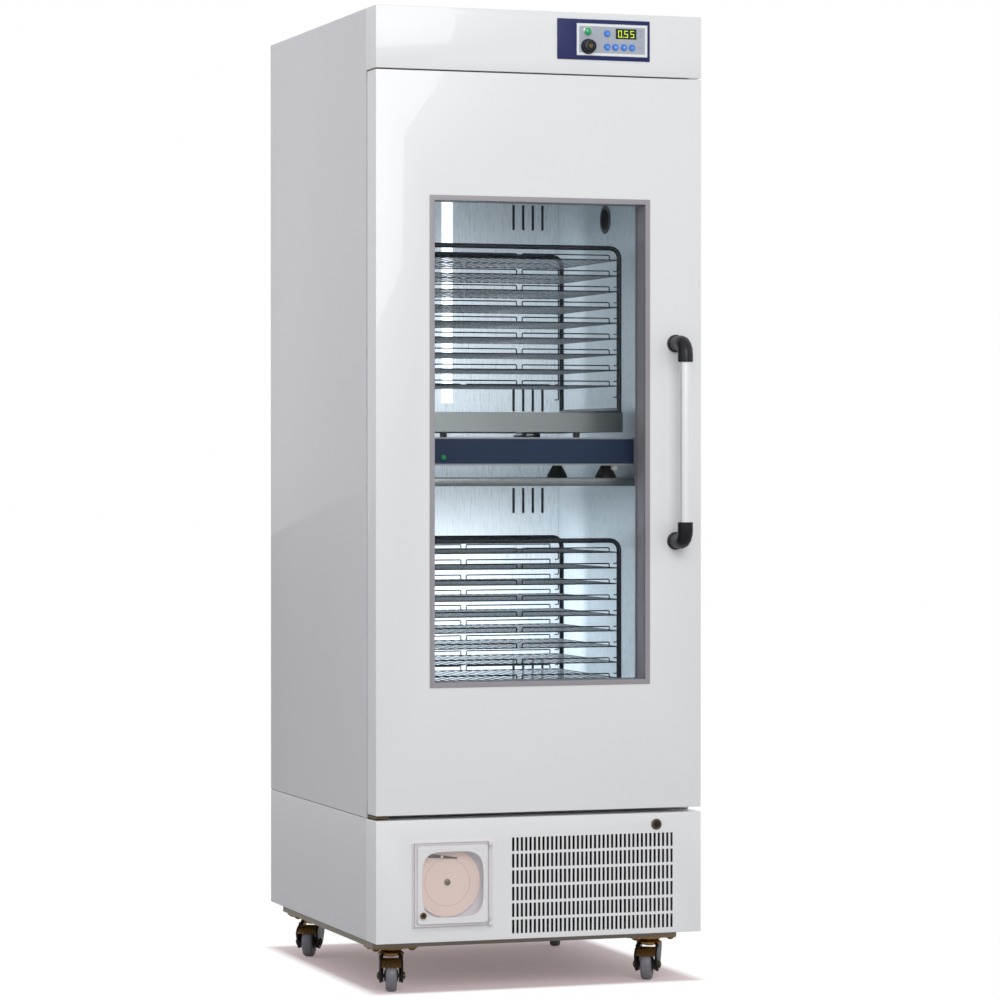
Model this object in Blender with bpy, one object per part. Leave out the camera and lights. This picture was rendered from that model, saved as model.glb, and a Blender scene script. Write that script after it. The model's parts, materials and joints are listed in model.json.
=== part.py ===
"""A floor-standing platelet incubator with two flatbed agitators behind one glazed door.

Metres, X to the right, Y to the back, Z up. The origin is on the floor, under the middle of
the whole box that the cabinet and its door handle fill. Depths are stated from the door's face.
"""

import math

import bmesh
import bpy
from mathutils import Matrix, Vector

# Whole cabinet
WIDTH = 0.690
DEPTH = 0.790
HEIGHT = 1.964
FASCIA_DEPTH = 0.068
RIM_Z = 0.087
PANEL_FLOOR_Z = 0.106
LOCK_HEADROOM = 0.016
SPLIT_Z = 0.350
SPLIT_GAP = 0.001
SHEET = 0.0012
FIT = 0.0003
LAP = 0.0015

# Insulated chamber
WALL = 0.055
FLOOR_Z = 0.428
ROOF = 0.194
CEILING_Z = HEIGHT - ROOF
LOWER_SHARE = 0.447094
MID_SHELF_Z = FLOOR_Z + LOWER_SHARE * (CEILING_Z - FLOOR_Z)
LINER_FLANGE = 0.030
DUCT_DEPTH = 0.025
DUCT_TOP_Z = CEILING_Z - 0.130
DUCT_SLOT = 0.006
DUCT_SLOT_HEIGHT = 0.055
DUCT_SLOT_PITCH = 0.0224
DUCT_SLOT_COUNT = 4
DUCT_SLOT_INNER_X = 0.185
DUCT_SLOT_ROWS = (FLOOR_Z + 0.142, MID_SHELF_Z - 0.079, MID_SHELF_Z + 0.144, CEILING_Z - 0.200)
PORT_RADIUS = 0.025
PORT_DEPTH = 0.413
PORT_Z = CEILING_Z - 0.193
LAMP_X = 0.0315
LAMP_RADIUS = 0.012
LAMP_Z = (MID_SHELF_Z + 0.162, CEILING_Z - 0.140)
MID_SHELF_LIP = 0.016
MID_SHELF_FRONT = 0.086
LEDGE_WIDTH = 0.016

# Evaporator box under the ceiling
COOLER_HALF = 0.250
COOLER_FRONT = 0.400
COOLER_FLOOR_Z = CEILING_Z - 0.125
COIL_SIZE = (0.400, 0.110, 0.090)
COIL_FRONT = 0.540
COIL_SLOTS = 7
COIL_BASE = 0.008
BLOWER_RADIUS = 0.050
BLOWER_SWEEP = 0.003
BLOWER_HUB = 0.012
BLOWER_LENGTH = 0.010
BLOWER_SETBACK = 0.007
BLOWER_Z = CEILING_Z - 0.063
BRACKET = 0.010
BRACKET_DEPTH = 0.016

# Door
HEADER_HEIGHT = 0.124
HEADER_Z = HEIGHT - HEADER_HEIGHT
DOOR_GAP = 0.003
DOOR_Z = (SPLIT_Z + 0.010, HEADER_Z - DOOR_GAP)
DOOR_THICKNESS = 0.058
HINGE_X = 0.337
HINGE_INSET = 0.020
HINGE_PIN = 0.004
HINGE_PIN_LENGTH = 0.014
HINGE_CLEARANCE = 0.0004
HINGE_PLATE = (0.0018, 0.0045)
HINGE_ARM = 0.022
HINGE_LEG = 0.034
WINDOW_HALF = 0.2236
WINDOW_Z = (DOOR_Z[0] + 0.262, DOOR_Z[1] - 0.256)
FRAME_FACE = 0.010
FRAME_PROUD = 0.002
FRAME_WALL = 0.0012
PANE = 0.004
PANE_SEAT = 0.004
PANE_INSETS = (0.0025, 0.0450)
GASKET_INSET = 0.009
GASKET_WIDTH = 0.014

# Handle
HANDLE_X = 0.289
HANDLE_LENGTH = 0.436
HANDLE_MID_Z = (DOOR_Z[0] + DOOR_Z[1]) / 2 + 0.0025
HANDLE_Z = (HANDLE_MID_Z - HANDLE_LENGTH / 2, HANDLE_MID_Z + HANDLE_LENGTH / 2)
HANDLE_STANDOFF = 0.056
BAR_RADIUS = 0.0115
ELBOW_RADIUS = 0.0155
ELBOW_HEIGHT = 0.055
ELBOW_BEND = 0.024
FOOT_RADIUS = 0.018
FOOT_THICKNESS = 0.008
SOCKET_DEPTH = 0.018

# Control panel in the header
BEZEL_X = (0.0346, 0.2324)
BEZEL_Z = (HEADER_Z + 0.0295, HEADER_Z + 0.1108)
BEZEL_PROUD = 0.003
FACE_X = (0.0753, 0.2274)
FACE_Z = (HEADER_Z + 0.0379, HEADER_Z + 0.1026)
FACE_SINK = 0.0006
FACE_LEDGE = 0.004
KEY_RADIUS = 0.0068
KEY_COLLAR = 0.0080
KEY_COLLAR_THICKNESS = 0.0010
KEY_PROUD = 0.0032
KEY_TRAVEL = 0.0010
KEY_Z = HEADER_Z + 0.0563
KEY_PLACES = {
    "silence_key": (0.1406, HEADER_Z + 0.0830),
    "set_key": (0.1407, KEY_Z),
    "down_key": (0.1581, KEY_Z),
    "up_key": (0.1766, KEY_Z),
    "light_key": (0.1940, KEY_Z),
}
BOARD_DEPTH = 0.0075
BOARD_X = (0.126, 0.2195)
BOARD_Z = (HEADER_Z + 0.044, HEADER_Z + 0.096)
BOARD_THICKNESS = 0.0016
BOARD_POST = 0.002
BOARD_POST_INSET = 0.003
SCREEN_X = (0.1591, 0.2034)
SCREEN_Z = (HEADER_Z + 0.0734, HEADER_Z + 0.0936)
SCREEN_SINK = 0.0004
PILOT_PLACE = (0.099, HEADER_Z + 0.0866)
PILOT_RADIUS = 0.009
PILOT_DOME = 0.006
PILOT_LENGTH = 0.018
SWITCH_PLACE = (0.0998, HEADER_Z + 0.056)
SWITCH_RING = 0.0154
SWITCH_RING_PROUD = 0.003
SWITCH_KNOB = 0.0133
SWITCH_PROUD = 0.0170
SWITCH_BARREL = 0.0045
SWITCH_LENGTH = 0.024
KEYWAY = (0.0012, 0.0050)

# Base
BASE_WALL = 0.002
BASE_RIM = 0.010
BASE_SETBACK = 0.006
CHASSIS_SETBACK = 0.088
CHASSIS_INSET = (0.019, 0.030)
CHASSIS_RAIL = 0.062
POST = 0.030
GRILLE_X = (-0.0608, 0.2837)
GRILLE_TOP_Z = 0.3095
GRILLE_COLUMNS = 38
GRILLE_ROWS = 6
GRILLE_SLOT = (0.0050, 0.0275)
GRILLE_ROW_GAP = 0.0055
GRILLE_MARGIN = 0.005
LOCK_X = 0.248
LOCK_Z = 0.327
LOCK_RADIUS = 0.0085
LOCK_HEAD = 0.0095
LOCK_CAM = (0.040, 0.010, 0.0025)
LOCK_CAM_DEPTH = 0.0100
LOCK_CAM_ROOM = 0.001
LOCK_KEYWAY = (0.0016, 0.008)
VENT_COLUMNS = 10
VENT_SLOT = (0.008, 0.130)
VENT_PITCH = 0.020
VENT_CENTRE = (0.130, 0.228)
INLET_PLACE = (-0.240, 0.190)
INLET_SIZE = (0.028, 0.020, 0.024)
INLET_FLANGE = 0.006
INLET_WALL = 0.002
INLET_BACK = 0.004
INLET_LIP = 0.003

# Chart recorder
RECORDER_X = (-0.271, -0.1039)
RECORDER_Z = (0.137, 0.3055)
RECORDER_PROUD = 0.004
RECORDER_RIM = 0.006
RECORDER_WALL = 0.006
RECORDER_BODY_DEPTH = 0.062
RECORDER_WELL = 0.020
CHART_PLACE = (-0.1925, 0.2231)
CHART_RADIUS = 0.0625
CHART_THICKNESS = 0.001
CHART_PIN = 0.003
CHART_GAP = 0.0006
PEN_PIVOT = (-0.2480, 0.2790)
PEN_PIN = 0.0020
PEN_THICKNESS = 0.0015
PEN_LENGTH = 0.076
PEN_ANGLE = -6.0
PEN_TIP = 0.0012
LID_HINGE_RADIUS = 0.0047
LID_PIN = 0.0015
LID_LUG = 0.008
LID_WALL = 0.003
LID_NOTCH = 0.010
LID_PIN_REACH = 0.006

# Refrigeration in the base
COMPRESSOR_PLACE = (-0.150, 0.500)
COMPRESSOR_RADIUS = 0.080
COMPRESSOR_HEIGHT = 0.170
COMPRESSOR_FOOT = (0.014, 0.012)
CONDENSER_X = (-0.025, 0.235)
CONDENSER_DEPTH = (0.085, 0.150)
CONDENSER_TOP_Z = 0.310
CONDENSER_SLOTS = 7
CONDENSER_RIM = (0.012, 0.006)
SHROUD_DEPTH = 0.024
COOLING_FAN_RADIUS = 0.084
COOLING_FAN_SWEEP = 0.004
COOLING_FAN_HUB = 0.022
COOLING_FAN_LENGTH = 0.014
COOLING_FAN_SETBACK = 0.012
COOLING_FAN_Z = 0.206
MOTOR_RADIUS = 0.030
MOTOR_LENGTH = 0.045
MOTOR_BAR = (0.016, 0.003)
SHAFT_RADIUS = 0.003
FAN_BLADE = 0.0014

# Casters
CASTER_X = 0.278
CASTER_INSETS = (0.119, 0.095)
CASTER_TRAIL = 0.034
CASTER_HEADINGS = {"front_left": 16.0, "front_right": 28.0, "back_left": 28.0, "back_right": 22.0}
PLATE_SIZE = (0.095, 0.060, 0.003)
RACE_RADIUS = 0.024
RACE_HEIGHT = 0.006
KING_PIN = 0.006
KING_HEAD = (0.009, 0.003)
CROWN_HEIGHT = 0.008
CROWN_RADIUS = 0.026
WHEEL_RADIUS = 0.0315
WHEEL_WIDTH = 0.028
WHEEL_HUB = 0.011
WHEEL_SHOULDER = (0.004, 0.003)
WHEEL_TREAD = 0.008
WHEEL_SIDES = 20
AXLE_RADIUS = 0.004
AXLE_END = 0.003
FORK_PLATE = 0.0040
FORK_GAP = 0.0016
FORK_EYE = 0.013
FORK_DEPTH = 0.040
FORK_LAP = 0.005
RUNNING = 0.0004

# Agitators, heights from the surface that each one stands on
HOUSING_HALF = 0.250
HOUSING_FRONT = 0.117
HOUSING_DEPTH = 0.400
HOUSING_WALL = 0.002
FOOT_HEIGHT = 0.026
HOUSING_HEIGHT = 0.057
AGITATOR_FOOT = (0.022, 0.010)
AGITATOR_FOOT_RIM = 0.004
AGITATOR_FOOT_INSET = 0.050
CRANK_X = 0.080
CRANK_DEPTH = 0.317
CRANK_THROW = 0.019
CRANK_DISC = 0.028
CRANK_DISC_HEIGHT = 0.004
CRANK_PIN = 0.005
CRANK_PIN_HEIGHT = 0.012
CRANK_SHAFT = 0.007
CRANK_BORE_DEPTH = 0.024
GEARBOX_RADIUS = 0.032
GEARBOX_LIFT = 0.002
YOKE_SLACK = 0.0046
YOKE_WALL = 0.004
RAIL_SIZE = 0.012
RAIL_HALF = 0.150
RAIL_RISE = 0.016
RAIL_DEPTHS = (0.190, 0.440)
SADDLE_X = 0.080
SADDLE_LENGTH = 0.040
SADDLE_WALL = 0.006
PLATFORM_HALF = 0.224
PLATFORM_DEPTH = (0.130, 0.500)
PLATFORM_CLEARANCE = 0.011
PLATFORM_HEIGHT = 0.0405
PLATFORM_SHEET = 0.0015

# Racks of wire shelves
ROD = 0.005
RACK_BEND = 0.020
RACK_HEIGHT = 0.342
SHELF_COUNT = 9
SHELF_PITCH = 0.0323
TOP_SHELF_DROP = 0.023
SHELF_WIRE = 0.003
SHELF_SLOTS = 3
FENCE_RISE = 0.010
FENCE_SPAN = (0.006, 0.195)

# Sides of round pieces
FINE_SIDES = 24
SIDES = 16
SMALL_SIDES = 12

HALF = WIDTH / 2
HANDLE_REACH = HANDLE_STANDOFF + ELBOW_RADIUS
FRONT_Y = (HANDLE_REACH - DEPTH) / 2
BODY_Y = FRONT_Y + FASCIA_DEPTH
BACK_Y = FRONT_Y + DEPTH
CAVITY_HALF = HALF - WALL
LINER_BACK_Y = BACK_Y - WALL
DUCT_Y = LINER_BACK_Y - DUCT_DEPTH
HINGE_Y = FRONT_Y + HINGE_INSET


def finish(name, colour, roughness, metallic=0.0, alpha=1.0):
    """A Principled material; the colour is an sRGB hex value."""
    look = bpy.data.materials.new(name)
    look.use_nodes = True
    shader = look.node_tree.nodes["Principled BSDF"]
    parts = [int(colour[i : i + 2], 16) / 255 for i in (1, 3, 5)]
    linear = [c / 12.92 if c <= 0.04045 else ((c + 0.055) / 1.055) ** 2.4 for c in parts]
    shader.inputs["Base Color"].default_value = (*linear, 1.0)
    shader.inputs["Roughness"].default_value = roughness
    shader.inputs["Metallic"].default_value = metallic
    shader.inputs["Alpha"].default_value = alpha
    look.diffuse_color = (*linear, alpha)
    return look


def shape(bm):
    """Closes a bmesh off into a loose object with its faces pointing out."""
    bmesh.ops.recalc_face_normals(bm, faces=bm.faces)
    mesh = bpy.data.meshes.new("shape")
    bm.to_mesh(mesh)
    bm.free()
    obj = bpy.data.objects.new("shape", mesh)
    bpy.context.scene.collection.objects.link(obj)
    return obj


def blocks(boxes):
    """One object of separate rectangular blocks, each a pair of opposite corners."""
    bm = bmesh.new()
    for low, high in boxes:
        low, high = Vector(low), Vector(high)
        place = Matrix.Translation((low + high) / 2) @ Matrix.Diagonal((high - low).to_4d())
        bmesh.ops.create_cube(bm, size=1.0, matrix=place)
    return shape(bm)


def block(low, high):
    return blocks([(low, high)])


def in_space(axis, u, v, along):
    """The point at u, v across an axis and some way along it; u, v follow X, Y, Z order."""
    return {"x": (along, u, v), "y": (u, along, v), "z": (u, v, along)}[axis]


def prism(outline, axis, start, end):
    """A flat outline pushed along an axis."""
    bm = bmesh.new()
    face = bm.faces.new([bm.verts.new(in_space(axis, u, v, start)) for u, v in outline])
    moved = bmesh.ops.extrude_face_region(bm, geom=[face])["geom"]
    corners = [item for item in moved if isinstance(item, bmesh.types.BMVert)]
    bmesh.ops.translate(bm, verts=corners, vec=in_space(axis, 0, 0, end - start))
    return shape(bm)


def circle(centre, radius, sides=SIDES, first=0.0, sweep=360.0):
    """Points round a circle, or along an arc when the sweep is less than a full turn."""
    count = sides if sweep == 360.0 else sides + 1
    angles = [math.radians(first + sweep * i / sides) for i in range(count)]
    return [(centre[0] + radius * math.cos(a), centre[1] + radius * math.sin(a)) for a in angles]


def cylinder(axis, centre, radius, start, end, sides=SIDES):
    return prism(circle(centre, radius, sides), axis, start, end)


def turned(axis, centre, profile, sides=SIDES):
    """A profile of (radius, distance along the axis) points spun once round the axis."""
    bm = bmesh.new()
    verts = [bm.verts.new(in_space(axis, centre[0] + r, centre[1], a)) for r, a in profile]
    edges = [bm.edges.new(pair) for pair in zip(verts, verts[1:] + verts[:1])]
    bmesh.ops.spin(
        bm,
        geom=verts + edges,
        cent=in_space(axis, centre[0], centre[1], 0),
        axis=in_space(axis, 0, 0, 1),
        angle=math.tau,
        steps=sides,
        use_merge=True,
    )
    bmesh.ops.remove_doubles(bm, verts=bm.verts, dist=1e-6)
    loose = [edge for edge in bm.edges if not edge.link_faces]
    bmesh.ops.delete(bm, geom=loose, context="EDGES")
    return shape(bm)


def bent(points, radius, steps=4):
    """The same path with each inner corner rounded to a radius."""
    path = [Vector(points[0])]
    for before, corner, after in zip(points, points[1:], points[2:]):
        corner = Vector(corner)
        back, ahead = (Vector(before) - corner).normalized(), (Vector(after) - corner).normalized()
        centre = corner + (back + ahead) * radius
        for i in range(steps + 1):
            a = math.pi / 2 * i / steps
            path.append(centre - (ahead * math.cos(a) + back * math.sin(a)) * radius)
    path.append(Vector(points[-1]))
    return path


def rod(points, radius, resolution=1):
    """A round rod along a path, with flat ends."""
    curve = bpy.data.curves.new("rod", "CURVE")
    curve.dimensions = "3D"
    curve.bevel_depth = radius
    curve.bevel_resolution = resolution
    curve.use_fill_caps = True
    spline = curve.splines.new("POLY")
    spline.points.add(len(points) - 1)
    for point, place in zip(spline.points, points):
        point.co = (*place, 1.0)
    guide = bpy.data.objects.new("rod", curve)
    bpy.context.scene.collection.objects.link(guide)
    bm = bmesh.new()
    graph = bpy.context.evaluated_depsgraph_get()
    bm.from_mesh(bpy.data.meshes.new_from_object(guide.evaluated_get(graph)))
    bpy.data.objects.remove(guide)
    bmesh.ops.remove_doubles(bm, verts=bm.verts, dist=1e-6)
    return shape(bm)


def combine(target, tools, operation):
    """Applies an exact Boolean with each tool in turn, and deletes the tools."""
    for tool in tools:
        step = target.modifiers.new(operation.lower(), "BOOLEAN")
        step.operation = operation
        step.object = tool
        tool.hide_render = True
    graph = bpy.context.evaluated_depsgraph_get()
    mesh = bpy.data.meshes.new_from_object(target.evaluated_get(graph))
    target.modifiers.clear()
    target.data = mesh
    for tool in tools:
        bpy.data.objects.remove(tool)
    return target


def cut(target, *tools):
    return combine(target, tools, "DIFFERENCE")


def join(target, *tools):
    return combine(target, tools, "UNION")


def moved(obj, matrix):
    obj.data.transform(matrix)
    return obj


def about(axis, degrees, centre):
    """A turn about an axis through a point."""
    middle = Matrix.Translation(centre)
    return middle @ Matrix.Rotation(math.radians(degrees), 4, axis) @ middle.inverted()


def part(name, obj, look, origin=None, smooth=False):
    """Names a finished piece, gives it its material and puts its origin where it turns or slides."""
    obj.name = name
    obj.data.name = name
    obj.data.materials.clear()
    obj.data.materials.append(look)
    if smooth:
        obj.data.shade_smooth()
        obj.data.set_sharp_from_angle(angle=math.radians(35))
    if origin is not None:
        obj.data.transform(Matrix.Translation(-Vector(origin)))
        obj.location = origin
    return obj


def ring(half, inner_half, z, inner_z, start, end):
    """A rectangular frame round a rectangular hole, flat in Y."""
    outer = block((-half, start, z[0]), (half, end, z[1]))
    return cut(outer, block((-inner_half, start - LAP, inner_z[0]), (inner_half, end + LAP, inner_z[1])))


def port_bore(radius):
    """The cutter for the probe port in the right wall."""
    place = (FRONT_Y + PORT_DEPTH, PORT_Z)
    return cylinder("x", place, radius, CAVITY_HALF - WALL, HALF + WALL, FINE_SIDES)


def cabinet_body(looks):
    """Outer shell, foam and liner of the insulated chamber, open to the front."""
    shell_floor = SPLIT_Z + SPLIT_GAP
    mouth_half = CAVITY_HALF + LINER_FLANGE + FIT
    mouth_z = (FLOOR_Z - LINER_FLANGE - FIT, CEILING_Z + LINER_FLANGE + FIT)
    inset = SHEET + FIT
    shell = cut(
        block((-HALF, BODY_Y, shell_floor), (HALF, BACK_Y, HEIGHT)),
        block(
            (-HALF + SHEET, BODY_Y + SHEET, shell_floor + SHEET),
            (HALF - SHEET, BACK_Y - SHEET, HEIGHT - SHEET),
        ),
        block((-mouth_half, BODY_Y - LAP, mouth_z[0]), (mouth_half, BODY_Y + 2 * SHEET, mouth_z[1])),
        port_bore(PORT_RADIUS),
    )
    part("outer_shell", shell, looks["painted_side"])

    foam = cut(
        block(
            (-HALF + inset, BODY_Y + inset, shell_floor + inset),
            (HALF - inset, BACK_Y - inset, HEIGHT - inset),
        ),
        block(
            (-CAVITY_HALF - inset, BODY_Y, FLOOR_Z - inset),
            (CAVITY_HALF + inset, LINER_BACK_Y + inset, CEILING_Z + inset),
        ),
        port_bore(PORT_RADIUS + FIT),
    )
    part("insulation", foam, looks["foam"])

    flange = LINER_FLANGE
    liner = join(
        block(
            (-CAVITY_HALF - SHEET, BODY_Y, FLOOR_Z - SHEET),
            (CAVITY_HALF + SHEET, LINER_BACK_Y + SHEET, CEILING_Z + SHEET),
        ),
        block(
            (-CAVITY_HALF - flange, BODY_Y, FLOOR_Z - flange),
            (CAVITY_HALF + flange, BODY_Y + SHEET, CEILING_Z + flange),
        ),
    )
    hollow = block((-CAVITY_HALF, BODY_Y - LAP, FLOOR_Z), (CAVITY_HALF, LINER_BACK_Y, CEILING_Z))
    cut(liner, hollow, port_bore(PORT_RADIUS))
    ledge_top = MID_SHELF_Z - MID_SHELF_LIP - FIT
    for side in (-1, 1):
        edges = sorted((side * (CAVITY_HALF + SHEET / 2), side * (CAVITY_HALF - LEDGE_WIDTH)))
        front_y = FRONT_Y + MID_SHELF_FRONT + LEDGE_WIDTH
        back_y = DUCT_Y - LEDGE_WIDTH
        join(liner, block((edges[0], front_y, ledge_top - 2 * SHEET), (edges[1], back_y, ledge_top)))
    part("inner_liner", liner, looks["stainless"])


def duct_slots():
    """Cutters for the air slots, in mirrored groups at each height."""
    boxes = []
    for side in (-1, 1):
        for column in range(DUCT_SLOT_COUNT):
            x = side * (DUCT_SLOT_INNER_X + column * DUCT_SLOT_PITCH)
            for low in DUCT_SLOT_ROWS:
                corner = (x - DUCT_SLOT / 2, DUCT_Y - LAP, low)
                boxes.append((corner, (x + DUCT_SLOT / 2, DUCT_Y + LAP + SHEET, low + DUCT_SLOT_HEIGHT)))
    return blocks(boxes)


def chamber_fittings(looks):
    """Air duct, middle shelf, lamp and the evaporator box with its coil and blower."""
    side = CAVITY_HALF - FIT
    duct = cut(
        block((-side, DUCT_Y, FLOOR_Z + FIT), (side, LINER_BACK_Y - FIT, DUCT_TOP_Z)),
        block(
            (-side + SHEET, DUCT_Y + SHEET, FLOOR_Z + FIT + SHEET),
            (side - SHEET, LINER_BACK_Y + LAP, DUCT_TOP_Z + LAP),
        ),
        duct_slots(),
    )
    part("rear_duct", duct, looks["stainless"])

    front = FRONT_Y + MID_SHELF_FRONT
    under = MID_SHELF_Z - MID_SHELF_LIP
    shelf = cut(
        block((-side, front, under), (side, DUCT_Y - FIT, MID_SHELF_Z)),
        block(
            (-side + LEDGE_WIDTH, front + SHEET, under - LAP),
            (side - LEDGE_WIDTH, DUCT_Y - FIT - SHEET, MID_SHELF_Z - SHEET),
        ),
    )
    part("middle_shelf", shelf, looks["stainless"])

    lamp_back = DUCT_Y - FIT
    lamp = prism(circle((LAMP_X, lamp_back), LAMP_RADIUS, 8, 180.0, 180.0), "z", *LAMP_Z)
    part("chamber_lamp", lamp, looks["lamp"])

    cooler_y = FRONT_Y + COOLER_FRONT
    cooler_top = CEILING_Z - FIT
    mouth = (0, BLOWER_Z)
    mouth_radius = BLOWER_RADIUS + BLOWER_SWEEP
    box = cut(
        block((-COOLER_HALF, cooler_y, COOLER_FLOOR_Z), (COOLER_HALF, LINER_BACK_Y - FIT, cooler_top)),
        block(
            (-COOLER_HALF + SHEET, cooler_y + SHEET, COOLER_FLOOR_Z + SHEET),
            (COOLER_HALF - SHEET, LINER_BACK_Y + LAP, cooler_top + LAP),
        ),
        block(
            (-COOLER_HALF + WALL, DUCT_Y, COOLER_FLOOR_Z - LAP),
            (COOLER_HALF - WALL, LINER_BACK_Y + LAP, COOLER_FLOOR_Z + 2 * SHEET),
        ),
        cylinder("y", mouth, mouth_radius, cooler_y - LAP, cooler_y + 2 * SHEET, FINE_SIDES),
    )
    bracket_y = cooler_y + BRACKET_DEPTH
    arm = mouth_radius + BRACKET / 2
    feet = []
    for x in (-arm, arm):
        low = (x - BRACKET / 4, cooler_y + SHEET / 2, BLOWER_Z - BRACKET)
        feet.append((low, (x + BRACKET / 4, bracket_y + 2 * SHEET, BLOWER_Z + BRACKET)))
    half = BRACKET * 0.8
    join(
        box,
        blocks(feet),
        block((-arm, bracket_y, BLOWER_Z - half), (arm, bracket_y + 2 * SHEET, BLOWER_Z + half)),
        cylinder("y", mouth, MOTOR_RADIUS * 0.8, bracket_y + SHEET, bracket_y + MOTOR_LENGTH),
        cylinder("y", mouth, SHAFT_RADIUS, cooler_y + 2 * SHEET, bracket_y + 2 * SHEET, SMALL_SIDES),
    )
    part("evaporator_box", box, looks["stainless"])
    place = (0, cooler_y + BLOWER_SETBACK, BLOWER_Z)
    fan = fan_wheel(place, BLOWER_HUB, BLOWER_RADIUS, BLOWER_LENGTH)
    part("circulation_fan", fan, looks["black_plastic"], place)

    width, depth, height = COIL_SIZE
    coil_y = FRONT_Y + COIL_FRONT
    coil_z = COOLER_FLOOR_Z + SHEET + FIT
    coil = block((-width / 2, coil_y, coil_z), (width / 2, coil_y + depth, coil_z + height))
    pitch = width / (COIL_SLOTS + 1)
    gaps = []
    for i in range(COIL_SLOTS):
        x = -width / 2 + pitch * (i + 1)
        low = (x - pitch * 0.3, coil_y - LAP, coil_z + COIL_BASE)
        gaps.append((low, (x + pitch * 0.3, coil_y + depth / 3, coil_z + height + LAP)))
    part("evaporator_coil", cut(coil, blocks(gaps)), looks["aluminium"])


def fan_wheel(place, hub_radius, tip_radius, length, blades=5, pitch=32.0):
    """A hub bored for its shaft, with flat blades set at an angle."""
    x, y, z = place
    hub = cylinder("y", (x, z), hub_radius, y - length / 2, y + length / 2)
    fins = []
    for i in range(blades):
        low = (x + hub_radius * 0.7, y - FAN_BLADE / 2, z - hub_radius * 0.62)
        fin = block(low, (x + tip_radius * 0.97, y + FAN_BLADE / 2, z + hub_radius * 0.62))
        moved(fin, about("X", pitch, place))
        fins.append(moved(fin, about("Y", 360 * i / blades, place)))
    join(hub, *fins)
    bore = cylinder("y", (x, z), SHAFT_RADIUS + RUNNING, y - length, y + length, SMALL_SIDES)
    return cut(hub, bore)


def hinge_bracket(name, door_side, thickness, away, looks):
    """A plate beside the door's end, its pin, and the leg that fixes it to the body.

    door_side is the height of the plate's face next to the door; away is +1 above the door
    and -1 below it.
    """
    x = -HINGE_X
    front, back = HINGE_Y - HINGE_PIN * 1.6, BODY_Y - FIT
    far_side = door_side + away * thickness
    leg_end = door_side + away * HINGE_LEG
    outline = [
        (front, door_side),
        (back, door_side),
        (back, leg_end),
        (back - BASE_WALL, leg_end),
        (back - BASE_WALL, far_side),
        (front, far_side),
    ]
    plate = prism(outline, "x", x - HINGE_PIN * 1.2, x + HINGE_ARM)
    pin_ends = sorted((door_side + away * thickness / 2, door_side - away * HINGE_PIN_LENGTH))
    pin = cylinder("z", (x, HINGE_Y), HINGE_PIN, *pin_ends)
    return part(name, join(plate, pin), looks["zinc"])


def hinge_notch(z):
    """Cuts room for a hinge leg out of a panel's return."""
    x = -HINGE_X
    return block((-HALF + 0.002, BODY_Y - 0.012, z[0]), (x + HINGE_ARM + 0.002, BODY_Y + LAP, z[1]))


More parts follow.
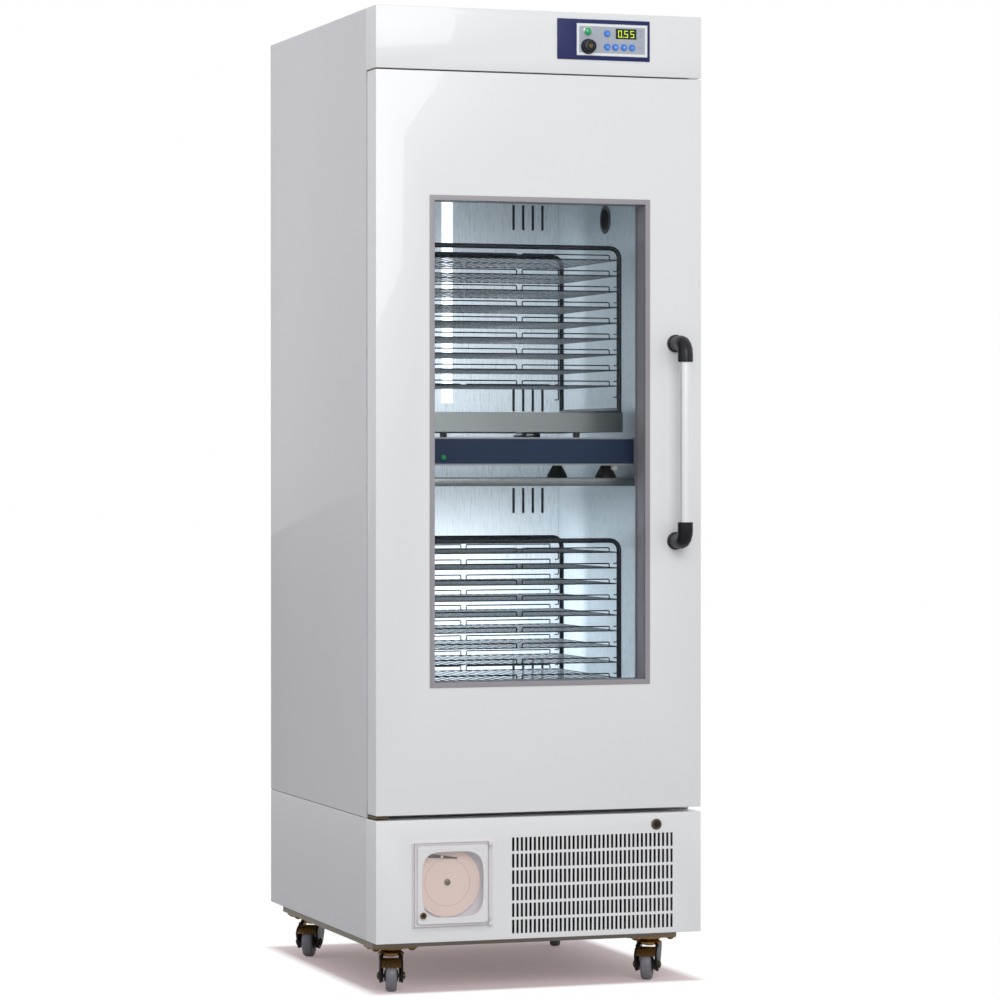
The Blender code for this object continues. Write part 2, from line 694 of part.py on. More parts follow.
def door(looks):
    """Outer pan, insulated inner panel, glazed window, gasket and handle."""
    back = FRONT_Y + DOOR_THICKNESS
    inset = SHEET + FIT
    web_inner = PANE_SEAT + FIT
    web_outer = web_inner + FRAME_WALL
    hole = web_outer + FIT
    bore_z = HINGE_PIN_LENGTH + 0.001
    turn = (-HINGE_X, HINGE_Y, 0)

    def window_cutter():
        return block(
            (-WINDOW_HALF - hole, FRONT_Y - WALL, WINDOW_Z[0] - hole),
            (WINDOW_HALF + hole, BODY_Y + WALL, WINDOW_Z[1] + hole),
        )

    def hinge_bore(start, end):
        return cylinder("z", (-HINGE_X, HINGE_Y), HINGE_PIN + HINGE_CLEARANCE, start, end)

    length, width, thickness = LOCK_CAM
    cam_y = FRONT_Y + LOCK_CAM_DEPTH
    lock_slot = block(
        (LOCK_X - length, cam_y - LOCK_CAM_ROOM, DOOR_Z[0] - LAP),
        (LOCK_X + width, cam_y + thickness + LOCK_CAM_ROOM, DOOR_Z[0] + LAP + SHEET),
    )

    skin = cut(
        block((-HALF, FRONT_Y, DOOR_Z[0]), (HALF, back, DOOR_Z[1])),
        block(
            (-HALF + SHEET, FRONT_Y + SHEET, DOOR_Z[0] + SHEET),
            (HALF - SHEET, back + LAP, DOOR_Z[1] - SHEET),
        ),
        window_cutter(),
        hinge_bore(DOOR_Z[0] - LAP, DOOR_Z[0] + bore_z),
        hinge_bore(DOOR_Z[1] - bore_z, DOOR_Z[1] + LAP),
        lock_slot,
    )
    part("door_skin", skin, looks["painted_front"], turn)

    # The core stops above the lock's cam, which swings up through the skin's lower edge.
    core = cut(
        block(
            (-HALF + inset, FRONT_Y + inset, DOOR_Z[0] + LOCK_HEADROOM),
            (HALF - inset, back, DOOR_Z[1] - inset),
        ),
        window_cutter(),
        hinge_bore(DOOR_Z[1] - bore_z, DOOR_Z[1]),
    )
    part("door_inner_panel", core, looks["white_plastic"], turn)

    view_z = WINDOW_Z
    outer_z = (view_z[0] - FRAME_FACE, view_z[1] + FRAME_FACE)
    web_z = (view_z[0] - web_outer, view_z[1] + web_outer)
    frame = join(
        ring(WINDOW_HALF + FRAME_FACE, WINDOW_HALF, outer_z, view_z, FRONT_Y - FRAME_PROUD, FRONT_Y - FIT),
        ring(WINDOW_HALF + web_outer, WINDOW_HALF, web_z, view_z, FRONT_Y - FRAME_PROUD / 2, back),
    )
    seat = PANE_SEAT + FIT
    grooves = []
    for name, depth in zip(("door_pane_outer", "door_pane_inner"), PANE_INSETS):
        y = FRONT_Y + depth
        grooves.append(
            block(
                (-WINDOW_HALF - seat, y - FIT, view_z[0] - seat),
                (WINDOW_HALF + seat, y + PANE + FIT, view_z[1] + seat),
            )
        )
        pane = block(
            (-WINDOW_HALF - PANE_SEAT, y, view_z[0] - PANE_SEAT),
            (WINDOW_HALF + PANE_SEAT, y + PANE, view_z[1] + PANE_SEAT),
        )
        part(name, pane, looks["glass"], turn)
    part("window_frame", cut(frame, *grooves), looks["grey_profile"], turn)

    outer = HALF - GASKET_INSET
    inner = outer - GASKET_WIDTH
    z = (DOOR_Z[0] + GASKET_INSET, DOOR_Z[1] - GASKET_INSET)
    inner_z = (z[0] + GASKET_WIDTH, z[1] - GASKET_WIDTH)
    part("door_gasket", ring(outer, inner, z, inner_z, back + FIT, BODY_Y - FIT), looks["gasket"], turn)

    bar_y = FRONT_Y - HANDLE_STANDOFF
    place = (HANDLE_X, bar_y)
    hidden = ELBOW_HEIGHT - SOCKET_DEPTH + FIT
    bar = cylinder("z", place, BAR_RADIUS, HANDLE_Z[0] + hidden, HANDLE_Z[1] - hidden)
    part("handle_bar", bar, looks["silver"], turn, smooth=True)
    for name, end, inward in (("lower", HANDLE_Z[0], 1), ("upper", HANDLE_Z[1], -1)):
        foot_z = end + inward * FOOT_RADIUS
        mouth = end + inward * ELBOW_HEIGHT
        start = (HANDLE_X, FRONT_Y - FOOT_THICKNESS / 2, foot_z)
        path = [start, (HANDLE_X, bar_y, foot_z), (HANDLE_X, bar_y, mouth)]
        elbow = rod(bent(path, ELBOW_BEND, 4), ELBOW_RADIUS, 4)
        foot = cylinder("y", (HANDLE_X, foot_z), FOOT_RADIUS, FRONT_Y - FOOT_THICKNESS, FRONT_Y - FIT)
        socket_ends = sorted((mouth - inward * SOCKET_DEPTH, mouth + inward * LAP))
        socket = cylinder("z", place, BAR_RADIUS + FIT, *socket_ends)
        elbow = cut(join(elbow, foot), socket)
        part("handle_elbow_" + name, elbow, looks["black_plastic"], turn, smooth=True)


def header(looks):
    """Header fascia with the control panel, its keys, lamp, key switch and display."""
    panel = cut(
        block((-HALF, FRONT_Y, HEADER_Z), (HALF, BODY_Y - FIT, HEIGHT)),
        block(
            (-HALF + SHEET, FRONT_Y + SHEET, HEADER_Z + SHEET),
            (HALF - SHEET, BODY_Y + LAP, HEIGHT - SHEET),
        ),
        block(
            (FACE_X[0] + FACE_LEDGE, FRONT_Y - LAP, FACE_Z[0] + FACE_LEDGE),
            (FACE_X[1] - FACE_LEDGE, FRONT_Y + 2 * SHEET, FACE_Z[1] - FACE_LEDGE),
        ),
        hinge_notch((HEADER_Z - LAP, HEADER_Z + 2 * SHEET)),
    )
    part("header_panel", panel, looks["painted_front"])

    bezel = cut(
        block(
            (BEZEL_X[0], FRONT_Y - BEZEL_PROUD, BEZEL_Z[0]),
            (BEZEL_X[1], FRONT_Y - FIT, BEZEL_Z[1]),
        ),
        block(
            (FACE_X[0] - FIT, FRONT_Y - WALL, FACE_Z[0] - FIT),
            (FACE_X[1] + FIT, BODY_Y, FACE_Z[1] + FIT),
        ),
    )
    part("control_bezel", bezel, looks["navy"])

    face_front = FRONT_Y - BEZEL_PROUD + FACE_SINK
    board_y = FRONT_Y + BOARD_DEPTH
    face = block((FACE_X[0], face_front, FACE_Z[0]), (FACE_X[1], FRONT_Y - FIT, FACE_Z[1]))
    posts = []
    post_start = (face_front + FRONT_Y) / 2
    for x in (BOARD_X[0] + BOARD_POST_INSET, BOARD_X[1] - BOARD_POST_INSET):
        for z in (BOARD_Z[0] + BOARD_POST_INSET, BOARD_Z[1] - BOARD_POST_INSET):
            posts.append(cylinder("y", (x, z), BOARD_POST, post_start, board_y - FIT, SMALL_SIDES // 2))
    join(face, *posts)
    holes = [
        cylinder("y", place, KEY_RADIUS + FIT, FRONT_Y - WALL, FRONT_Y, SMALL_SIDES)
        for place in KEY_PLACES.values()
    ]
    holes.append(cylinder("y", PILOT_PLACE, PILOT_RADIUS - LAP + FIT, FRONT_Y - WALL, FRONT_Y))
    holes.append(cylinder("y", SWITCH_PLACE, SWITCH_RING * 0.75 + FIT, FRONT_Y - WALL, FRONT_Y))
    holes.append(
        block(
            (SCREEN_X[0] - FIT, FRONT_Y - WALL, SCREEN_Z[0] - FIT),
            (SCREEN_X[1] + FIT, FRONT_Y, SCREEN_Z[1] + FIT),
        )
    )
    part("key_face", cut(face, *holes), looks["silver_film"])

    display = join(
        block((BOARD_X[0], board_y, BOARD_Z[0]), (BOARD_X[1], board_y + BOARD_THICKNESS, BOARD_Z[1])),
        block(
            (SCREEN_X[0], face_front + SCREEN_SINK, SCREEN_Z[0]),
            (SCREEN_X[1], board_y + BOARD_THICKNESS / 2, SCREEN_Z[1]),
        ),
    )
    part("display_board", display, looks["screen"])

    lamp = turned(
        "y",
        PILOT_PLACE,
        [
            (0, face_front - PILOT_DOME),
            (PILOT_RADIUS * 0.62, face_front - PILOT_DOME * 0.8),
            (PILOT_RADIUS, face_front - PILOT_DOME * 0.37),
            (PILOT_RADIUS, face_front - FIT),
            (PILOT_RADIUS - LAP, face_front - FIT),
            (PILOT_RADIUS - LAP, FRONT_Y + PILOT_LENGTH),
            (0, FRONT_Y + PILOT_LENGTH),
        ],
    )
    part("pilot_lamp", lamp, looks["green_lens"], smooth=True)

    switch = turned(
        "y",
        SWITCH_PLACE,
        [
            (SWITCH_BARREL + RUNNING, face_front - SWITCH_PROUD),
            (SWITCH_KNOB * 0.85, face_front - SWITCH_PROUD),
            (SWITCH_KNOB, face_front - SWITCH_PROUD + LAP),
            (SWITCH_KNOB, face_front - SWITCH_RING_PROUD),
            (SWITCH_RING, face_front - SWITCH_RING_PROUD),
            (SWITCH_RING, face_front - FIT),
            (SWITCH_RING * 0.75, face_front - FIT),
            (SWITCH_RING * 0.75, FRONT_Y + SWITCH_LENGTH),
            (SWITCH_BARREL + RUNNING, FRONT_Y + SWITCH_LENGTH),
        ],
    )
    part("key_switch_body", switch, looks["black_plastic"], smooth=True)
    barrel_front = face_front - SWITCH_PROUD - FIT
    barrel = cylinder("y", SWITCH_PLACE, SWITCH_BARREL, barrel_front, FRONT_Y + SWITCH_LENGTH)
    width, height = KEYWAY
    keyway = block(
        (SWITCH_PLACE[0] - width / 2, barrel_front - LAP, SWITCH_PLACE[1] - height / 2),
        (SWITCH_PLACE[0] + width / 2, barrel_front + 2 * LAP, SWITCH_PLACE[1] + height / 2),
    )
    turn = (SWITCH_PLACE[0], face_front, SWITCH_PLACE[1])
    part("key_switch_barrel", cut(barrel, keyway), looks["chrome"], turn)

    for name, place in KEY_PLACES.items():
        key = turned(
            "y",
            place,
            [
                (0, face_front - KEY_PROUD),
                (KEY_RADIUS * 0.75, face_front - KEY_PROUD * 0.85),
                (KEY_RADIUS, face_front - KEY_PROUD * 0.4),
                (KEY_RADIUS, FRONT_Y + FIT),
                (KEY_COLLAR, FRONT_Y + FIT),
                (KEY_COLLAR, FRONT_Y + FIT + KEY_COLLAR_THICKNESS),
                (KEY_RADIUS * 0.5, FRONT_Y + FIT + KEY_COLLAR_THICKNESS),
                (KEY_RADIUS * 0.5, board_y - KEY_TRAVEL - FIT),
                (0, board_y - KEY_TRAVEL - FIT),
            ],
            SMALL_SIDES,
        )
        part(name, key, looks["blue_key"], (place[0], face_front, place[1]), smooth=True)


def grille_slots():
    """Cutters for the grille's columns of slots; its cross bars are added behind them."""
    width, height = GRILLE_SLOT
    pitch = (GRILLE_X[1] - GRILLE_X[0] - width) / (GRILLE_COLUMNS - 1)
    low = GRILLE_TOP_Z - GRILLE_ROWS * height - (GRILLE_ROWS - 1) * GRILLE_ROW_GAP
    boxes = []
    for column in range(GRILLE_COLUMNS):
        left = GRILLE_X[0] + column * pitch
        boxes.append(((left, FRONT_Y - LAP, low), (left + width, FRONT_Y + LAP + SHEET, GRILLE_TOP_Z)))
    return blocks(boxes)


def grille_ladder():
    """Cross bars just behind the slots, carried by an upright at each end of the grille."""
    height = GRILLE_SLOT[1]
    step = height + GRILLE_ROW_GAP
    low = GRILLE_TOP_Z - GRILLE_ROWS * step + GRILLE_ROW_GAP
    front = FRONT_Y + SHEET + FIT
    edge = (GRILLE_X[0] - GRILLE_MARGIN, GRILLE_X[1] + GRILLE_MARGIN)
    plate = block((edge[0], front, low), (edge[1], front + SHEET, GRILLE_TOP_Z))
    gaps = []
    for row in range(GRILLE_ROWS):
        top = GRILLE_TOP_Z - row * step + (LAP if row == 0 else 0)
        bottom = GRILLE_TOP_Z - row * step - height - (LAP if row == GRILLE_ROWS - 1 else 0)
        gaps.append(((GRILLE_X[0] - FIT, front - LAP, bottom), (GRILLE_X[1] + FIT, front + 2 * LAP, top)))
    cut(plate, blocks(gaps))
    feet = []
    for x in edge:
        inner = x + math.copysign(GRILLE_MARGIN - LAP, (edge[0] + edge[1]) / 2 - x)
        near, far = sorted((x, inner))
        feet.append(((near, FRONT_Y + SHEET / 2, low + LAP), (far, front + SHEET / 2, GRILLE_TOP_Z - LAP)))
    return join(plate, blocks(feet))


def vent_slots():
    """Cutters for the warm air outlet in the back of the base cover."""
    width, height = VENT_SLOT
    boxes = []
    for column in range(VENT_COLUMNS):
        x = VENT_CENTRE[0] + (column - (VENT_COLUMNS - 1) / 2) * VENT_PITCH
        low = (x - width / 2, BACK_Y - 2 * SHEET, VENT_CENTRE[1] - height / 2)
        boxes.append((low, (x + width / 2, BACK_Y + LAP, VENT_CENTRE[1] + height / 2)))
    return blocks(boxes)


def inlet_block(margin, start, end):
    """A block at the power inlet, larger than the inlet by a margin all round."""
    x, z = INLET_PLACE
    half_width, half_height = INLET_SIZE[0] / 2 + margin, INLET_SIZE[1] / 2 + margin
    return block((x - half_width, start, z - half_height), (x + half_width, end, z + half_height))


def base(looks):
    """Pan on rails and caster plates, slotted front panel, wrap-round cover, lock and inlet."""
    inset = SHEET + FIT
    half = HALF - inset
    front, back = FRONT_Y + BASE_SETBACK, BACK_Y - inset
    pan = cut(
        block((-half, front, PANEL_FLOOR_Z), (half, back, PANEL_FLOOR_Z + BASE_RIM)),
        block(
            (-half + BASE_WALL, front + BASE_WALL, PANEL_FLOOR_Z + BASE_WALL),
            (half - BASE_WALL, back - BASE_WALL, PANEL_FLOOR_Z + WALL),
        ),
    )
    rail_x = HALF - CHASSIS_INSET[0]
    rail_y = (FRONT_Y + CHASSIS_SETBACK, BACK_Y - CHASSIS_INSET[1])
    hole_x, hole_y = rail_x - CHASSIS_RAIL, (rail_y[0] + CHASSIS_RAIL, rail_y[1] - CHASSIS_RAIL)
    rail_top = PANEL_FLOOR_Z + BASE_WALL / 2
    rails = cut(
        block((-rail_x, rail_y[0], RIM_Z), (rail_x, rail_y[1], rail_top)),
        block((-hole_x, hole_y[0], RIM_Z - LAP), (hole_x, hole_y[1], rail_top + LAP)),
    )
    post_top = SPLIT_Z + SPLIT_GAP - FIT
    pieces = [rails]
    for side in (-1, 1):
        for y, inward in ((BODY_Y + FIT, 1), (back, -1)):
            corner = (side * half, y)
            outline = [
                corner,
                (corner[0] - side * POST, y),
                (corner[0] - side * POST, y + inward * BASE_WALL),
                (corner[0] - side * BASE_WALL, y + inward * BASE_WALL),
                (corner[0] - side * BASE_WALL, y + inward * POST),
                (corner[0], y + inward * POST),
            ]
            pieces.append(prism(outline, "z", rail_top, post_top))
    for name in CASTER_HEADINGS:
        x, y = caster_place(name)
        width, depth, thickness = PLATE_SIZE
        under = RIM_Z - thickness
        low = (x - width / 2, y - depth / 2, under)
        pieces.append(block(low, (x + width / 2, y + depth / 2, RIM_Z + BASE_WALL / 2)))
        head_top = under - RACE_HEIGHT - FIT - CROWN_HEIGHT - FIT
        profile = [
            (0, under + thickness / 3),
            (RACE_RADIUS, under + thickness / 3),
            (RACE_RADIUS, under - RACE_HEIGHT * 0.5),
            (RACE_RADIUS * 0.8, under - RACE_HEIGHT),
            (KING_PIN, under - RACE_HEIGHT),
            (KING_PIN, head_top),
            (KING_HEAD[0], head_top),
            (KING_HEAD[0], head_top - KING_HEAD[1]),
            (0, head_top - KING_HEAD[1]),
        ]
        pieces.append(turned("z", (x, y), profile, SMALL_SIDES))
    part("base_frame", join(pan, *pieces), looks["zinc"])

    cam_length, cam_width, cam_thickness = LOCK_CAM
    cam_y = FRONT_Y + LOCK_CAM_DEPTH
    rim = RECORDER_RIM - FIT
    panel = cut(
        block((-HALF, FRONT_Y, PANEL_FLOOR_Z), (HALF, BODY_Y - FIT, SPLIT_Z)),
        block(
            (-HALF + SHEET, FRONT_Y + SHEET, PANEL_FLOOR_Z - LAP),
            (HALF - SHEET, BODY_Y + LAP, SPLIT_Z - SHEET),
        ),
        block(
            (RECORDER_X[0] + rim, FRONT_Y - LAP, RECORDER_Z[0] + rim),
            (RECORDER_X[1] - rim, FRONT_Y + 2 * SHEET, RECORDER_Z[1] - rim),
        ),
        cylinder("y", (LOCK_X, LOCK_Z), LOCK_RADIUS + FIT, FRONT_Y - LAP, FRONT_Y + LAP + SHEET),
        block(
            (LOCK_X - cam_length, cam_y - LOCK_CAM_ROOM, SPLIT_Z - 2 * SHEET),
            (LOCK_X + cam_width, cam_y + cam_thickness + LOCK_CAM_ROOM, SPLIT_Z + LAP),
        ),
        hinge_notch((SPLIT_Z - 2 * SHEET, SPLIT_Z + LAP)),
        grille_slots(),
    )
    join(panel, grille_ladder())
    part("base_front_panel", panel, looks["painted_front"])

    cover = cut(
        block((-HALF, BODY_Y, PANEL_FLOOR_Z), (HALF, BACK_Y, SPLIT_Z)),
        block(
            (-HALF + SHEET, BODY_Y - LAP, PANEL_FLOOR_Z - LAP),
            (HALF - SHEET, BACK_Y - SHEET, SPLIT_Z + LAP),
        ),
        inlet_block(FIT, BACK_Y - 2 * SHEET, BACK_Y + LAP),
        vent_slots(),
    )
    part("base_cover", cover, looks["painted_side"])

    deep = INLET_SIZE[2]
    flange_y = BACK_Y - SHEET - FIT
    inlet = join(
        inlet_block(0, BACK_Y - deep, BACK_Y),
        inlet_block(INLET_FLANGE, flange_y - INLET_LIP, flange_y),
    )
    cut(inlet, inlet_block(-INLET_WALL, BACK_Y - deep + INLET_BACK, BACK_Y + LAP))
    part("power_inlet", inlet, looks["black_plastic"])

    place = (LOCK_X, LOCK_Z)
    barrel = join(
        cylinder("y", place, LOCK_HEAD, FRONT_Y - LOCK_HEAD / 3, FRONT_Y - FIT),
        cylinder("y", place, LOCK_RADIUS, FRONT_Y - SHEET, cam_y + cam_thickness / 2),
        block(
            (LOCK_X - cam_length, cam_y, LOCK_Z - cam_width / 2),
            (LOCK_X + cam_width / 2, cam_y + cam_thickness, LOCK_Z + cam_width / 2),
        ),
    )
    width, height = LOCK_KEYWAY
    keyway = block(
        (LOCK_X - width / 2, FRONT_Y - WALL, LOCK_Z - height / 2),
        (LOCK_X + width / 2, FRONT_Y, LOCK_Z + height / 2),
    )
    part("door_lock", cut(barrel, keyway), looks["chrome"], (LOCK_X, FRONT_Y, LOCK_Z))


def recorder(looks):
    """Seven-day chart recorder: case, chart disc, pen arm and a clear hinged lid."""
    x0, x1 = RECORDER_X
    z0, z1 = RECORDER_Z
    front = FRONT_Y - RECORDER_PROUD
    rim = RECORDER_RIM
    wall = rim + RECORDER_WALL
    well_y = FRONT_Y + RECORDER_WELL
    chart_y = well_y - RECORDER_WALL
    chart_back = chart_y + CHART_THICKNESS
    hinge = (x1 - LID_HINGE_RADIUS - FIT, front - LID_HINGE_RADIUS - FIT)
    body_back = FRONT_Y + RECORDER_BODY_DEPTH
    case = join(
        block((x0, front, z0), (x1, FRONT_Y - FIT, z1)),
        block((x0 + rim, FRONT_Y - SHEET, z0 + rim), (x1 - rim, body_back, z1 - rim)),
    )
    cut(case, block((x0 + wall, front - LAP, z0 + wall), (x1 - wall, well_y, z1 - wall)))
    lugs = []
    reach = LID_HINGE_RADIUS
    for end, inward in ((z0, 1), (z1, -1)):
        low, high = sorted((end, end + inward * LID_LUG))
        pin_ends = sorted(((low + high) / 2, end + inward * (LID_LUG + LID_PIN_REACH)))
        lugs.append(block((hinge[0] - reach, hinge[1] - reach * 0.6, low), (x1, front + LAP / 2, high)))
        lugs.append(cylinder("z", hinge, LID_PIN, *pin_ends, sides=SMALL_SIDES))
    join(
        case,
        *lugs,
        cylinder("y", CHART_PLACE, CHART_PIN * 3, chart_back + FIT, well_y + LAP, SMALL_SIDES),
        cylinder("y", CHART_PLACE, CHART_PIN, chart_y - LAP, well_y + LAP, SMALL_SIDES),
        cylinder("y", PEN_PIVOT, PEN_PIN * 2.5, chart_y - CHART_GAP, well_y + LAP, SMALL_SIDES),
        cylinder("y", PEN_PIVOT, PEN_PIN, chart_y - 2 * PEN_PIN, well_y + LAP, SMALL_SIDES),
    )
    part("recorder_case", case, looks["grey_plastic"])

    chart = cylinder("y", CHART_PLACE, CHART_RADIUS, chart_y, chart_back, 2 * SIDES)
    pin_hole = (chart_y - LAP, chart_back + LAP)
    cut(chart, cylinder("y", CHART_PLACE, CHART_PIN + RUNNING, *pin_hole, SMALL_SIDES))
    part("recorder_chart", chart, looks["chart_paper"], (CHART_PLACE[0], chart_y, CHART_PLACE[1]))

    pen_back = chart_y - CHART_GAP - FIT
    eye = PEN_PIN * 2.2
    x, z = PEN_PIVOT
    tip_x = x + PEN_LENGTH
    outline = circle((x, z), eye, 10, 90.0, 180.0) + [(tip_x, z - PEN_TIP), (tip_x, z + PEN_TIP)]
    pen = prism(outline, "y", pen_back - PEN_THICKNESS, pen_back)
    bore_ends = (pen_back - 2 * PEN_THICKNESS, pen_back + LAP)
    cut(pen, cylinder("y", PEN_PIVOT, PEN_PIN + RUNNING, *bore_ends, SMALL_SIDES))
    turn = (x, pen_back, z)
    moved(pen, about("Y", -PEN_ANGLE, turn))
    part("recorder_pen", pen, looks["black_plastic"], turn)

    back_y = hinge[1] + LID_HINGE_RADIUS
    face_y = hinge[1] - LID_HINGE_RADIUS
    outline = [(x0 + FIT, back_y), (x0 + FIT, face_y)] + circle(hinge, LID_HINGE_RADIUS, 8, -90.0, 180.0)
    lid = prism(outline, "z", z0 + FIT, z1 - FIT)
    notch = LID_NOTCH
    pin_hole = (z0 + LID_LUG - LAP, z1 - LID_LUG + LAP)
    hole_depth = LID_PIN_REACH + 2 * LAP
    cut(
        lid,
        block(
            (x0 + LID_WALL, face_y + LID_WALL, z0 + notch + LID_WALL),
            (x1 - 2 * notch, back_y + LAP, z1 - notch - LID_WALL),
        ),
        block((x1 - notch - LAP, face_y - LAP, z0 - LAP), (x1 + LAP, back_y + LAP, z0 + LID_LUG + FIT)),
        block((x1 - notch - LAP, face_y - LAP, z1 - LID_LUG - FIT), (x1 + LAP, back_y + LAP, z1 + LAP)),
        cylinder("z", hinge, LID_PIN + RUNNING, pin_hole[0], pin_hole[0] + hole_depth, SMALL_SIDES),
        cylinder("z", hinge, LID_PIN + RUNNING, pin_hole[1] - hole_depth, pin_hole[1], SMALL_SIDES),
    )
    part("recorder_lid", lid, looks["clear_plastic"], (hinge[0], hinge[1], z0))


def refrigeration(looks):
    """Compressor, condenser with its shroud and motor, and the condenser fan."""
    x, depth = COMPRESSOR_PLACE
    y = FRONT_Y + depth
    low = PANEL_FLOOR_Z + BASE_WALL + FIT
    radius = COMPRESSOR_RADIUS
    top = low + COMPRESSOR_HEIGHT
    foot, foot_height = COMPRESSOR_FOOT
    belly = low + foot_height
    dome = radius * 0.35
    can = turned(
        "z",
        (x, y),
        [
            (0, belly),
            (radius * 0.8, belly),
            (radius, belly + dome),
            (radius, top - dome),
            (radius * 0.85, top - dome * 0.35),
            (radius * 0.5, top),
            (0, top),
        ],
    )
    feet = []
    for i in (-1, 1):
        for j in (-1, 1):
            corner = (x + i * radius - foot, y + j * radius - foot, low)
            feet.append((corner, (x + i * radius + foot, y + j * radius + foot, belly + SHEET)))
    reach = radius + foot
    plate = block((x - reach, y - reach, belly - SHEET / 2), (x + reach, y + reach, belly + 2 * SHEET))
    part("compressor", join(can, plate, blocks(feet)), looks["black_paint"], smooth=True)

    x0, x1 = CONDENSER_X
    y0, y1 = (FRONT_Y + d for d in CONDENSER_DEPTH)
    centre = ((x0 + x1) / 2, COOLING_FAN_Z)
    shroud_y = y1 - SHROUD_DEPTH
    foot_rail, rim = CONDENSER_RIM
    core = cut(
        block((x0, y0, low), (x1, y1, CONDENSER_TOP_Z)),
        cylinder("y", centre, COOLING_FAN_RADIUS + COOLING_FAN_SWEEP, shroud_y, y1 + LAP, FINE_SIDES),
    )
    pitch = (x1 - x0) / (CONDENSER_SLOTS + 1)
    gaps = []
    for i in range(CONDENSER_SLOTS):
        mid = x0 + pitch * (i + 1)
        corner = (mid - pitch * 0.35, y0 - LAP, low + foot_rail)
        gaps.append((corner, (mid + pitch * 0.35, shroud_y - rim, CONDENSER_TOP_Z - rim)))
    cut(core, blocks(gaps))
    reach = COOLING_FAN_RADIUS + COOLING_FAN_SWEEP + rim
    bar_width, bar_thickness = MOTOR_BAR
    bar_z = (centre[1] - bar_width / 2, centre[1] + bar_width / 2)
    join(
        core,
        block((centre[0] - reach, y1 - SHEET, bar_z[0]), (centre[0] + reach, y1 + bar_thickness, bar_z[1])),
        cylinder("y", centre, MOTOR_RADIUS, y1 + bar_thickness / 3, y1 + MOTOR_LENGTH),
        cylinder("y", centre, SHAFT_RADIUS, shroud_y + BASE_WALL, y1 + BASE_WALL, SMALL_SIDES),
    )
    part("condenser", core, looks["black_paint"])
    place = (centre[0], shroud_y + COOLING_FAN_SETBACK, centre[1])
    fan = fan_wheel(place, COOLING_FAN_HUB, COOLING_FAN_RADIUS, COOLING_FAN_LENGTH, pitch=28.0)
    part("condenser_fan", fan, looks["black_plastic"], place)


def caster_place(name):
    """Where a caster swivels, in plan."""
    x = CASTER_X if name.endswith("right") else -CASTER_X
    y = FRONT_Y + CASTER_INSETS[0] if name.startswith("front") else BACK_Y - CASTER_INSETS[1]
    return x, y


def caster_axle(name):
    """Where a caster's wheel turns and the direction of its axle."""
    x, y = caster_place(name)
    heading = math.radians(CASTER_HEADINGS[name])
    along, across = math.cos(heading), math.sin(heading)
    return (x - CASTER_TRAIL * across, y - CASTER_TRAIL * along, WHEEL_RADIUS), (along, -across, 0)


def casters(looks):
    """Swivelling forks that trail forward, each with its axle, and their wheels."""
    half_gap = WHEEL_WIDTH / 2 + FORK_GAP
    crown_top = RIM_Z - PLATE_SIZE[2] - RACE_HEIGHT - FIT
    crown_floor = crown_top - CROWN_HEIGHT
    for name, heading in CASTER_HEADINGS.items():
        x, y = caster_place(name)
        axle_y = y - CASTER_TRAIL
        crown = turned(
            "z",
            (x, y),
            [
                (KING_PIN + RUNNING, crown_top),
                (CROWN_RADIUS * 0.8, crown_top),
                (CROWN_RADIUS, crown_top - CROWN_HEIGHT * 0.4),
                (CROWN_RADIUS, crown_floor),
                (KING_PIN + RUNNING, crown_floor),
            ],
            SMALL_SIDES,
        )
        hub = (axle_y, WHEEL_RADIUS)
        leg_top = crown_floor + FORK_LAP
        outline = [(y + FORK_DEPTH / 2, leg_top), (y - FORK_DEPTH / 2, leg_top)]
        outline += circle(hub, FORK_EYE, 5, 180.0, 180.0)
        legs = [
            prism(outline, "x", x + side * half_gap, x + side * (half_gap + FORK_PLATE))
            for side in (-1, 1)
        ]
        reach = half_gap + FORK_PLATE + AXLE_END
        axle = cylinder("x", hub, AXLE_RADIUS, x - reach, x + reach, 8)
        fork = moved(join(crown, *legs, axle), about("Z", -heading, (x, y, 0)))
        part("caster_fork_" + name, fork, looks["zinc"], (x, y, crown_floor))

        bore = AXLE_RADIUS + RUNNING
        step, dish = WHEEL_SHOULDER
        half_profile = [
            (bore, WHEEL_WIDTH / 2),
            (WHEEL_HUB, WHEEL_WIDTH / 2),
            (WHEEL_HUB + step, WHEEL_WIDTH / 2 - dish),
            (WHEEL_RADIUS - step, WHEEL_WIDTH / 2 - dish),
            (WHEEL_RADIUS, WHEEL_WIDTH / 2 - WHEEL_TREAD),
        ]
        profile = [(r, x - along) for r, along in half_profile]
        profile += [(r, x + along) for r, along in reversed(half_profile)]
        wheel = turned("x", hub, profile, WHEEL_SIDES)
        moved(wheel, about("Z", -heading, (x, y, 0)))
        centre, _ = caster_axle(name)
        part("caster_wheel_" + name, wheel, looks["rubber"], centre, smooth=True)


